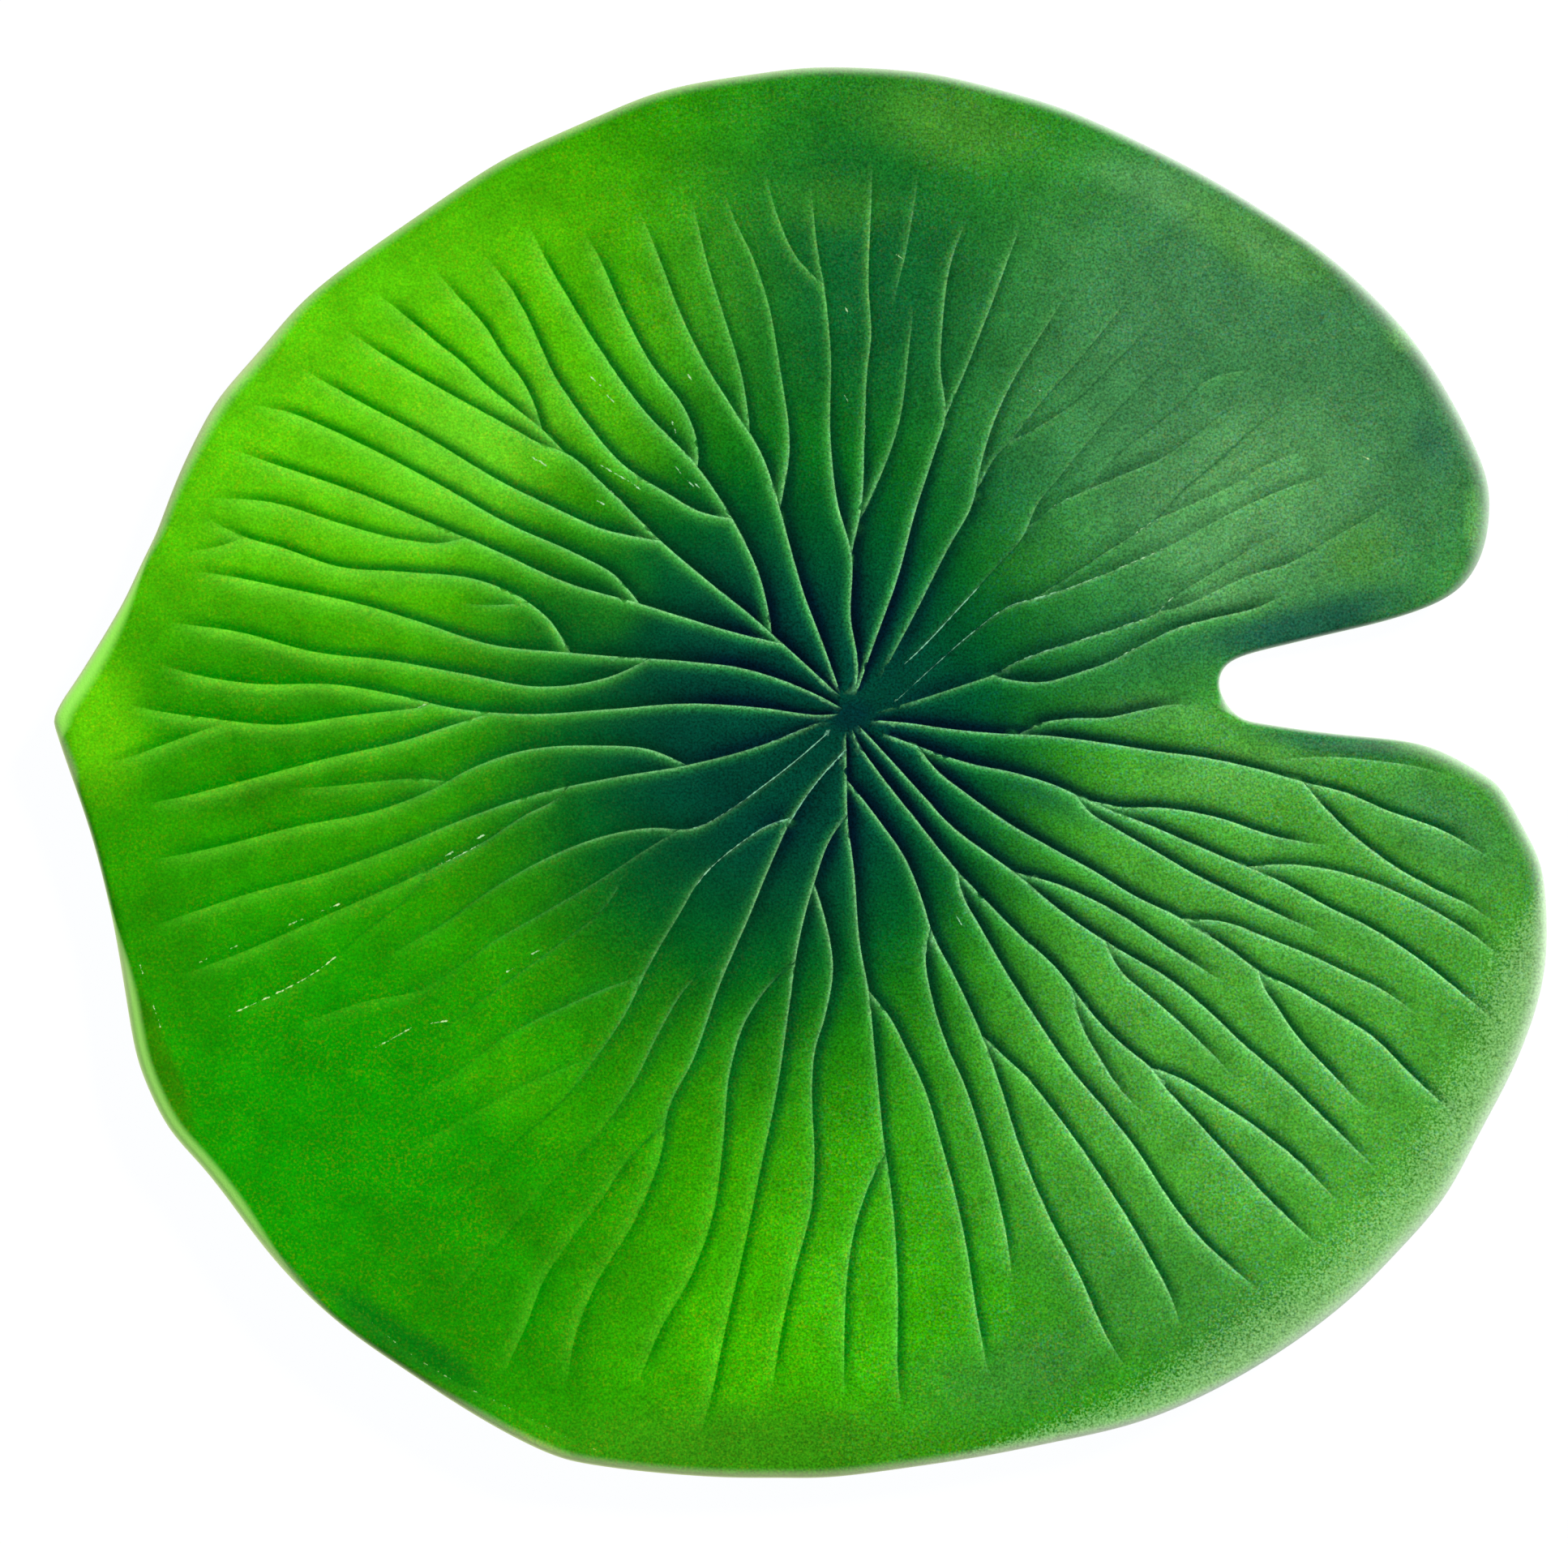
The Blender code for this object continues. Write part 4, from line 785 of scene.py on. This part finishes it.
def read_veins():
    """The veins as fine lines, with each fork starting on the line that it leaves."""
    veins = [
        Vein(name, start, strength, open_curve(to_leaf(points), VEIN_STEP))
        for name, (start, strength, points) in VEINS_PX.items()
    ]
    for child in veins:
        if child.start != "fork":
            continue
        leaves = child.line[:1]
        others = [vein for vein in veins if vein is not child]
        found = [distance_to_line(leaves, vein.line) for vein in others]
        nearest = min(range(len(others)), key=lambda i: found[i][0][0])
        parent = others[nearest]
        along = found[nearest][1][0]
        knots = travelled(parent.line)
        spot = np.array([np.interp(along, knots, parent.line[:, axis]) for axis in (0, 1)])
        knot = np.abs(knots - along).argmin()
        if abs(knots[knot] - along) < LEAST_GAP:
            spot = parent.line[knot].copy()
        else:
            parent.line = np.insert(parent.line, np.searchsorted(knots, along), spot, axis=0)
        child.line[0] = spot
    return veins


def relief(points, veins):
    """The depth of the veins at each point, and their painted shade, painted highlight band and painted
    highlight line there.
    """
    depth = np.zeros(len(points))
    shade = np.zeros(len(points))
    crest_highlight = np.zeros(len(points))
    glint = np.zeros(len(points))
    for vein in veins:
        at = near(points, vein.line, REACH)
        gap, along, away = distance_to_line(points[at], vein.line)
        full, spread, dark, pale, paint = vein.pressed(along)
        lee = away @ LIGHT_SIDE / np.maximum(gap, MERGE)
        spread = spread * (1 + LEE_SPREAD * lee)
        depth[at] += (full * np.exp(-gap / spread)) ** SOFTNESS
        line = (1 - abs(lee)) * np.exp(-((gap / LINE_REACH) ** 2))
        band = np.clip(LEE_GAIN * lee, 0, 1) * np.exp(-((gap / dark) ** 3))
        shade[at] = np.maximum(shade[at], paint * np.maximum(line, band))
        lit = paint * np.clip(-LEE_GAIN * lee, 0, 1)
        crest_highlight[at] = np.maximum(crest_highlight[at], lit * np.exp(-((gap / pale) ** 2)))
        glint[at] = np.maximum(glint[at], lit * np.exp(-((gap / HIGHLIGHT_LINE_REACH) ** 2)))
    return depth ** (1 / SOFTNESS), shade, crest_highlight, glint


def inward(outline):
    """The unit normal of a clockwise outline at each point, towards the leaf."""
    run = np.roll(outline, -NORMAL_SPAN, axis=0) - np.roll(outline, NORMAL_SPAN, axis=0)
    run /= np.linalg.norm(run, axis=1)[:, None]
    return np.column_stack([run[:, 1], -run[:, 0]])


def hex_points(step, low, high):
    """Points on a triangular grid that covers a rectangle."""
    rows = np.arange(low[1], high[1], step * math.sqrt(0.75))
    points = []
    for number, y in enumerate(rows):
        xs = np.arange(low[0] + step / 2 * (number % 2), high[0], step)
        points.append(np.column_stack([xs, np.full(len(xs), y)]))
    return np.vstack(points)


def inside(points, loop):
    """Whether each point is inside the closed loop, by counting the crossings to its right."""
    ends = np.roll(loop, -1, axis=0)
    rise = np.where(ends[:, 1] == loop[:, 1], 1, ends[:, 1] - loop[:, 1])
    found = []
    for part in np.array_split(points, math.ceil(len(points) / BATCH)):
        x, y = part[:, 0, None], part[:, 1, None]
        crosses = (loop[:, 1] > y) != (ends[:, 1] > y)
        meets = loop[:, 0] + (y - loop[:, 1]) / rise * (ends[:, 0] - loop[:, 0])
        found.append((crosses & (x < meets)).sum(1) % 2 == 1)
    return np.concatenate(found)


def search_tree(points):
    tree = KDTree(len(points))
    for number, (x, y) in enumerate(points):
        tree.insert((x, y, 0), number)
    tree.balance()
    return tree


def add_apart(kept, points, gap):
    """The kept points, followed by those of the new ones that are no closer than the gap."""
    everything = np.vstack([kept, points])
    tree = search_tree(everything)
    taken = np.ones(len(everything), bool)
    for number in range(len(kept), len(everything)):
        x, y = everything[number]
        close = tree.find_range((x, y, 0), gap)
        taken[number] = not any(taken[other] and other < number for _, other, _ in close)
    return everything[taken]


def bank_points(lines, offset):
    """Points on both sides of every line."""
    banks = []
    for line in lines:
        run = np.gradient(line, axis=0)
        run /= np.linalg.norm(run, axis=1)[:, None]
        across = np.column_stack([-run[:, 1], run[:, 0]]) * offset
        banks += [line[1:] + across[1:], line[1:] - across[1:]]
    return np.vstack(banks)


def triangulated(points, edges, count):
    """Triangles inside the loop of the first points, and where each given point ended up."""
    flat = [Vector(point) for point in points]
    found = delaunay_2d_cdt(flat, edges, [], 0, MERGE, True)
    places = {given: number for number, group in enumerate(found[3]) for given in group}
    flat = np.array([tuple(point) for point in found[0]])
    triangles = np.array(found[2])
    kept = inside(flat[triangles].mean(1), points[:count])
    return flat, triangles[kept], [places[i] for i in range(count)]


def loop_edges(count):
    return [(i, (i + 1) % count) for i in range(count)]


def top_face(loop, veins, nicks):
    """The pressed top, finest along its creases: flat points, triangles, and its outer loop."""
    numbers = {}
    points = list(loop)
    edges = loop_edges(len(loop))
    for vein in veins:
        path = []
        for point in vein.line:
            key = tuple(np.round(point, DIGITS))
            if key not in numbers:
                numbers[key] = len(points)
                points.append(point)
            path.append(numbers[key])
        edges += list(zip(path[:-1], path[1:]))
    points = np.array(points)
    lines = [vein.line for vein in veins]
    previous = 0
    for offset in BANKS:
        banks = bank_points(lines, offset)
        points = add_apart(points, banks[inside(banks, loop)], (offset - previous) * BANK_GAP)
        previous = offset
    for line in nicks:
        spots = hex_points(NICK_STEP, line.min(0) - NICK_MARGIN, line.max(0) + NICK_MARGIN)
        points = add_apart(points, spots, NICK_GAP)
    fill = hex_points(TOP_STEP, loop.min(0), loop.max(0))
    points = add_apart(points, fill[inside(fill, loop)], TOP_STEP * FILL_GAP)
    return triangulated(points, edges, len(loop))


def lower_face(loop):
    """The plain underside, with a ring of points where its flat middle ends."""
    turn = np.linspace(0, 2 * math.pi, FLAT_EDGE_POINTS, endpoint=False)
    ring = np.column_stack([np.cos(turn), np.sin(turn)]) * FLAT_RADIUS
    fill = hex_points(UNDER_STEP, loop.min(0), loop.max(0))
    points = add_apart(np.vstack([loop, ring]), fill[inside(fill, loop)], UNDER_STEP * FILL_GAP)
    return triangulated(points, loop_edges(len(loop)), len(loop))


def rim_rings(outline, normals):
    """Loops of flat points and heights round the rim, from the top's loop down to the underside's."""
    width = roll_width(outline)
    edge = edge_share(outline)
    rings = []
    for step in range(RIM_STEPS + 1):
        turn = math.pi / 2 * (1 - step / RIM_STEPS)
        flat = outline + normals * (width * (1 - math.cos(turn)))[:, None]
        rings.append((flat, edge + (1 - edge) * math.sin(turn)))
    for step in range(1, EDGE_STEPS + 1):
        turn = math.pi / 2 * step / EDGE_STEPS
        flat = outline + normals * UNDERCUT * (1 - math.cos(turn))
        rings.append((flat, edge * (1 - math.sin(turn))))
    return [np.column_stack([flat, underside(flat) + SHEET * high]) for flat, high in rings]


def scuffs(points, veins, nicks):
    """How strongly each point is scuffed pale, along the cracked creases and the nicks."""
    found = np.zeros(len(points))
    named = {vein.name: vein.line for vein in veins}
    for name, start, end, strength in CREASE_SCUFFS:
        line = named[name]
        low, high = sorted(distance_to_line(to_leaf([start, end]), line)[1])
        at = near(points, line, REACH)
        gap, along, _ = distance_to_line(points[at], line)
        pale = strength * np.exp(-((gap / SCUFF_REACH) ** 2)) * between(along, low, high, SCUFF_RAMP)
        found[at] = np.maximum(found[at], pale)
    for line in nicks:
        at = near(points, line, REACH)
        gap = distance_to_line(points[at], line)[0]
        found[at] = np.maximum(found[at], np.exp(-((gap / NICK_REACH) ** 2)))
    return found


def distance_to_rim(points, outline):
    tree = search_tree(outline)
    return np.array([tree.find((x, y, 0))[2] for x, y in points])


def leaf_mesh():
    """One closed surface: the pressed top, the rolled rim, and the underside."""
    read = closed_curve(to_leaf(OUTLINE_PX), OUTLINE_POINTS)
    outline = read - inward(read) * BEYOND_PX * LEAF_LENGTH / LENGTH_PX
    normals = inward(outline)
    veins = read_veins()
    nicks = [open_curve(to_leaf(points), NICK_STEP) for points in NICKS_PX]
    rings = rim_rings(outline, normals)
    top, top_faces, top_loop = top_face(rings[0][:, :2], veins, nicks)
    lower, lower_faces, lower_loop = lower_face(rings[-1][:, :2])
    depth, shade, crest_highlight, glint = relief(top, veins)
    top = np.column_stack([top, underside(top) + SHEET - depth])
    lower = np.column_stack([lower, underside(lower)])
    middle = np.vstack(rings[1:-1])
    points = np.vstack([top, middle, lower])
    faces = [tuple(face) for face in top_faces.tolist()]
    under_start = len(top) + len(middle)
    for face in lower_faces.tolist():
        faces.append(tuple(under_start + number for number in reversed(face)))
    count = len(outline)
    loops = [top_loop]
    loops += [range(len(top) + i * count, len(top) + (i + 1) * count) for i in range(len(rings) - 2)]
    loops.append([under_start + number for number in lower_loop])
    for upper, below in zip(loops[:-1], loops[1:]):
        for i in range(count):
            j = (i + 1) % count
            faces.append((upper[i], upper[j], below[j], below[i]))
    mesh = bpy.data.meshes.new("leaf_skin")
    mesh.from_pydata([tuple(point) for point in points], [], faces)
    mesh.validate()
    mesh.shade_smooth()
    flat = points[:, :2]
    below = np.zeros(len(points))
    below[len(top) + (RIM_STEPS + 1) * count :] = 1
    others = np.zeros(len(points) - len(top))
    scuff = scuffs(top[:, :2], veins, nicks)
    for name, values in (("shade", shade), ("crest_highlight", crest_highlight), ("glint", glint), ("scuff", scuff)):
        store(mesh, name, np.append(values, others))
    store(mesh, "rim", distance_to_rim(flat, outline) * MM_PER_METRE)
    for name, usual, stretches in RIM_PAINT:
        store(mesh, name, along_rim(flat, usual, stretches))
    store(mesh, "below", below)
    return mesh


def along_rim(points, usual, stretches):
    """A value that differs on stretches of the rim, at each point's bearing from the hub."""
    degrees = bearing(points)
    value = np.full(len(points), usual)
    for start, full, last, end, other in stretches:
        share = smooth_step((degrees - start) / (full - start))
        share = share * smooth_step((end - degrees) / (end - last))
        value = value + (other - value) * share
    return value


def store(mesh, name, values):
    attribute = mesh.attributes.new(name, "FLOAT", "POINT")
    attribute.data.foreach_set("value", np.asarray(values, np.float32))


def linear(colour):
    """An sRGB colour out of 255 as the linear colour that a shader takes."""
    values = [c / 255 for c in colour]
    return tuple(c / 12.92 if c <= 0.04045 else ((c + 0.055) / 1.055) ** 2.4 for c in values) + (1,)


class Nodes:
    """Short ways to add nodes to a material. An input is a value or another node's output."""

    def __init__(self, material):
        self.tree = material.node_tree

    def add(self, kind, inputs, **settings):
        node = self.tree.nodes.new("ShaderNode" + kind)
        for name, value in settings.items():
            setattr(node, name, value)
        for key, value in inputs.items():
            if isinstance(value, bpy.types.NodeSocket):
                self.tree.links.new(value, node.inputs[key])
            else:
                node.inputs[key].default_value = value
        return node

    def math(self, operation, a, b=0.0):
        return self.add("Math", {0: a, 1: b}, operation=operation).outputs[0]

    def noise(self, place, scale, detail=2):
        """Noise from 0 to 1 with its usual range spread out."""
        inputs = {"Vector": place, "Scale": scale, "Detail": detail}
        found = self.add("TexNoise", inputs).outputs["Fac"]
        return self.ramp(found, *NOISE_RANGE)

    def ramp(self, value, low, high, at_low=0.0, at_high=1.0, shape="LINEAR"):
        inputs = {0: value, 1: low, 2: high, 3: at_low, 4: at_high}
        return self.add("MapRange", inputs, interpolation_type=shape).outputs[0]

    def mix(self, share, a, b):
        return self.add("Mix", {0: share, 6: a, 7: b}, data_type="RGBA").outputs[2]

    def vector(self, operation, a, b):
        return self.add("VectorMath", {0: a, 1: b}, operation=operation).outputs[0]

    def scaled(self, vector, factor):
        return self.add("VectorMath", {0: vector, "Scale": factor}, operation="SCALE").outputs[0]

    def attribute(self, name):
        return self.add("Attribute", {}, attribute_name=name).outputs["Fac"]


def airbrushed(nodes, place):
    """The sprayed colours, a few of them painted shade along the rim, whose soft borders wander a
    little.
    """
    inputs = {"Vector": place, "Scale": WANDER_SCALE, "Detail": WANDER_DETAIL}
    cloud = nodes.add("TexNoise", inputs).outputs["Color"]
    shift = nodes.scaled(nodes.vector("SUBTRACT", cloud, NOISE_MIDDLE), WANDER)
    moved = nodes.vector("ADD", place, shift)
    colour = linear(BASE_GREEN)
    scale = LEAF_LENGTH / LENGTH_PX
    for middle, radii, turn, paint, strength, core in PATCHES:
        x, y = to_leaf([middle])[0]
        inputs = {
            "Vector": moved,
            "Location": (x, y, 0),
            "Rotation": (0, 0, math.radians(turn)),
            "Scale": (radii[0] * scale, radii[1] * scale, 1),
        }
        local = nodes.add("Mapping", inputs, vector_type="TEXTURE").outputs[0]
        out = nodes.add("VectorMath", {0: local}, operation="LENGTH").outputs["Value"]
        share = nodes.ramp(out, 1, core, 0, strength, "SMOOTHSTEP")
        colour = nodes.mix(share, colour, linear(paint))
    return colour


def creased(nodes, colour, leafwards, east, y):
    """Painted shade bands along the creases, painted highlight bands, and painted highlight lines,
    which the west has near the hub only.
    """
    shade = nodes.mix(east, linear(LEAF_SHADE), linear(EAST_SHADE))
    shade = nodes.mix(leafwards, linear(HUB_SHADE), shade)
    crest_highlight = nodes.mix(east, linear(LEAF_CREST_HIGHLIGHT), linear(EAST_CREST_HIGHLIGHT))
    crest_highlight = nodes.mix(leafwards, linear(HUB_CREST_HIGHLIGHT), crest_highlight)
    glint = nodes.mix(leafwards, linear(HUB_GLINT), linear(LEAF_GLINT))
    shaded = nodes.math("MULTIPLY", nodes.attribute("shade"), SHADE_STRENGTH)
    colour = nodes.mix(shaded, colour, shade)
    weakest = CREST_HIGHLIGHT_STRENGTH * SOUTH_HIGHLIGHT_SHARE
    strength = nodes.ramp(y, *SOUTH_HIGHLIGHT_Y, weakest, CREST_HIGHLIGHT_STRENGTH)
    strength = nodes.math("MAXIMUM", strength, nodes.math("MULTIPLY", east, CREST_HIGHLIGHT_STRENGTH))
    lit = nodes.math("MULTIPLY", nodes.attribute("crest_highlight"), strength)
    colour = nodes.mix(lit, colour, crest_highlight)
    crisp = nodes.math("MAXIMUM", east, nodes.ramp(leafwards, *GLINT_ENDS))
    crisp = nodes.math("MULTIPLY", crisp, GLINT_STRENGTH)
    lined = nodes.math("MULTIPLY", nodes.attribute("glint"), crisp)
    return nodes.mix(lined, colour, glint)


def flecked(nodes, colour, place, leafwards, east, y):
    """Fine flecks of warmer paint in the west and of bluer paint in the east, most in the south."""
    other = nodes.scaled(place, -1)
    inputs = {"Vector": other, "Scale": FLECK_SCALE, "Detail": FLECK_DETAIL}
    flecks = nodes.add("TexNoise", inputs).outputs["Color"]
    flecks = nodes.vector("SUBTRACT", flecks, NOISE_MIDDLE)
    flecks = nodes.vector("MAXIMUM", flecks, (0, 0, 0))
    clouds = nodes.noise(other, FLECK_CLOUD_SCALE, CLOUD_DETAIL)
    share = nodes.mix(east, (*WEST_FLECKS, 1), (*EAST_FLECKS, 1))
    share = nodes.scaled(share, nodes.ramp(clouds, 0, 1, *FLECK_CLOUD_SHARES))
    share = nodes.scaled(share, nodes.ramp(y, *FLECK_SOUTHWARDS))
    red = nodes.ramp(leafwards, *FLECK_RED)
    reach = nodes.add("CombineXYZ", {0: red, 1: 1.0, 2: 1.0}).outputs[0]
    share = nodes.vector("MULTIPLY", share, reach)
    green = nodes.add("SeparateXYZ", {0: colour}).outputs["Y"]
    flecks = nodes.scaled(nodes.vector("MULTIPLY", flecks, share), green)
    return nodes.vector("ADD", colour, flecks)


def new_material(name, roughness, specular):
    """A material and its shader."""
    material = bpy.data.materials.new(name)
    material.use_nodes = True
    shader = material.node_tree.nodes["Principled BSDF"]
    shader.inputs["Roughness"].default_value = roughness
    shader.inputs["Specular IOR Level"].default_value = specular
    return material, shader


def leaf_material():
    """Airbrushed soft foam: creases with painted shade and highlights, grain, flecks of paint, and a
    rim of bare foam with a painted white glow and painted sheen.
    """
    material, shader = new_material("airbrushed_foam", LEAF_ROUGHNESS, LEAF_SPECULAR)
    nodes = Nodes(material)
    place = nodes.add("TexCoord", {}).outputs["Object"]
    out = nodes.add("VectorMath", {0: place}, operation="LENGTH").outputs["Value"]
    parts = nodes.add("SeparateXYZ", {0: place}).outputs
    x, y = parts["X"], parts["Y"]
    leafwards = nodes.ramp(out, *LEAFWARDS)
    shifted = nodes.math("ADD", x, nodes.ramp(y, *SOUTH_SHIFT))
    east = nodes.ramp(shifted, *WEST_TO_EAST)
    colour = airbrushed(nodes, place)
    colour = creased(nodes, colour, leafwards, east, y)
    grain = nodes.noise(place, GRAIN_SCALE)
    cloud = nodes.noise(place, CLOUD_SCALE, CLOUD_DETAIL)
    eastwards = nodes.ramp(x, *GRAIN_EASTWARDS)
    rough = nodes.math("MAXIMUM", eastwards, nodes.ramp(out, *GRAIN_FROM_HUB))
    rough = nodes.math("MULTIPLY", rough, nodes.ramp(grain, 0, 1, -GRAIN_SHARE, GRAIN_SHARE))
    colour = nodes.scaled(colour, nodes.math("ADD", rough, 1.0))
    colour = nodes.scaled(colour, nodes.ramp(cloud, 0, 1, *CLOUD_SHARES))
    warmth = nodes.noise(nodes.scaled(place, -1), TINT_SCALE, TINT_DETAIL)
    tint = nodes.mix(warmth, (*COOL_TINT, 1), (*WARM_TINT, 1))
    colour = nodes.vector("MULTIPLY", colour, tint)
    colour = flecked(nodes, colour, place, leafwards, east, y)
    rim = nodes.attribute("rim")
    # Painted sheen along the rim, frayed by the grain
    sheened = nodes.math("DIVIDE", rim, nodes.attribute("rim_sheen"))
    sheened = nodes.math("ADD", sheened, nodes.ramp(grain, 0, 1, *RIM_SHEEN_FRAY))
    sheened = nodes.ramp(sheened, *RIM_SHEEN_RANGE, 0, RIM_SHEEN_STRENGTH)
    colour = nodes.mix(sheened, colour, linear(RIM_SHEEN))
    bare = nodes.math("DIVIDE", rim, nodes.attribute("foam"))
    bare = nodes.ramp(bare, *FOAM_RANGE, 0, FOAM_STRENGTH, "SMOOTHSTEP")
    foam = nodes.mix(nodes.ramp(y, *FOAM_LIME_Y), linear(MINT_FOAM), linear(LIME_FOAM))
    colour = nodes.mix(bare, colour, foam)
    # A white glow of light painted at the rim's edge
    edge_glow = nodes.math("DIVIDE", rim, nodes.attribute("edge"))
    edge_glow = nodes.math("POWER", nodes.ramp(edge_glow, *EDGE_RANGE), EDGE_POWER)
    edge_glow = nodes.math("MULTIPLY", edge_glow, nodes.attribute("glow_white"))
    colour = nodes.mix(edge_glow, colour, nodes.mix(east, linear(WARM_EDGE_GLOW), linear(COOL_EDGE_GLOW)))
    dashes = nodes.ramp(nodes.noise(place, DASH_SCALE), 0, 1, *DASH_SHARES)
    dashes = nodes.math("MULTIPLY", dashes, nodes.ramp(out, *DASH_FROM_HUB))
    scuffed = nodes.math("ADD", nodes.attribute("scuff"), dashes)
    scuffed = nodes.ramp(scuffed, *SCUFF_RANGE)
    cracked = nodes.mix(leafwards, linear(PALE_MINT), linear(WARM_WHITE))
    colour = nodes.mix(scuffed, colour, cracked)
    back = nodes.scaled(linear(FOAM_BACK)[:3], nodes.ramp(grain, 0, 1, *BACK_SHARES))
    colour = nodes.mix(nodes.attribute("below"), colour, back)
    material.node_tree.links.new(colour, shader.inputs["Base Color"])
    inputs = {"Height": grain, "Strength": BUMP_STRENGTH, "Distance": BUMP_HEIGHT}
    bump = nodes.add("Bump", inputs).outputs[0]
    material.node_tree.links.new(bump, shader.inputs["Normal"])
    return material


def placed(name, data):
    """A new object in the scene."""
    thing = bpy.data.objects.new(name, data)
    bpy.context.scene.collection.objects.link(thing)
    return thing


def make_leaf():
    mesh = leaf_mesh()
    mesh.materials.append(leaf_material())
    leaf = placed("leaf_skin", mesh)
    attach(leaf, "root")
    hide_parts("leaf")


def make_floor():
    """A plain near-white table top. Its white is mostly glow, so that shadows on it stay light."""
    mesh = bpy.data.meshes.new("floor")
    half = FLOOR_SIZE / 2
    corners = [(-half, -half, 0), (half, -half, 0), (half, half, 0), (-half, half, 0)]
    mesh.from_pydata(corners, [], [(0, 1, 2, 3)])
    material, shader = new_material("table_white", FLOOR_ROUGHNESS, FLOOR_SPECULAR)
    shader.inputs["Base Color"].default_value = (*FLOOR_COLOUR, 1)
    shader.inputs["Emission Color"].default_value = (*FLOOR_GLOW_COLOUR, 1)
    shader.inputs["Emission Strength"].default_value = FLOOR_GLOW
    mesh.materials.append(material)
    floor = placed("floor", mesh)
    floor.location.z = -FLOOR_GAP


def make_lights():
    """A soft sun from the upper right, a lower and softer one opposite, and an even sky."""
    suns = (
        ("key", KEY_STRENGTH, KEY_SOFT_DEG, KEY_UP_DEG, KEY_ROUND_DEG),
        ("fill", FILL_STRENGTH, FILL_SOFT_DEG, FILL_UP_DEG, FILL_ROUND_DEG),
    )
    for name, strength, soft, up, around in suns:
        sun = bpy.data.lights.new(name, "SUN")
        sun.energy = strength
        sun.angle = math.radians(soft)
        sun.color = SUN_COLOUR
        lamp = placed(name, sun)
        lamp.rotation_euler = Euler((0, math.radians(90 - up), math.radians(around)))
    world = bpy.data.worlds.new("sky")
    world.use_nodes = True
    sky = world.node_tree.nodes["Background"]
    sky.inputs["Color"].default_value = (*SKY_COLOUR, 1)
    sky.inputs["Strength"].default_value = SKY_STRENGTH
    bpy.context.scene.world = world


def make_camera():
    """Straight above the picture's middle, with the picture's frame fitted to the rim's height."""
    scale = LEAF_LENGTH / LENGTH_PX
    data = bpy.data.cameras.new("camera")
    data.sensor_width = SENSOR_MM
    data.lens = SENSOR_MM * CAMERA_DISTANCE / (PICTURE_PX[0] * scale)
    camera = placed("camera", data)
    middle = to_leaf([(PICTURE_PX[0] / 2, PICTURE_PX[1] / 2)])[0]
    camera.location = (middle[0], middle[1], RIM_HEIGHT + CAMERA_DISTANCE)
    bpy.context.scene.camera = camera


def main():
    make_leaf()
    make_floor()
    make_lights()
    make_camera()
    bpy.context.scene.view_settings.view_transform = "Standard"


main()
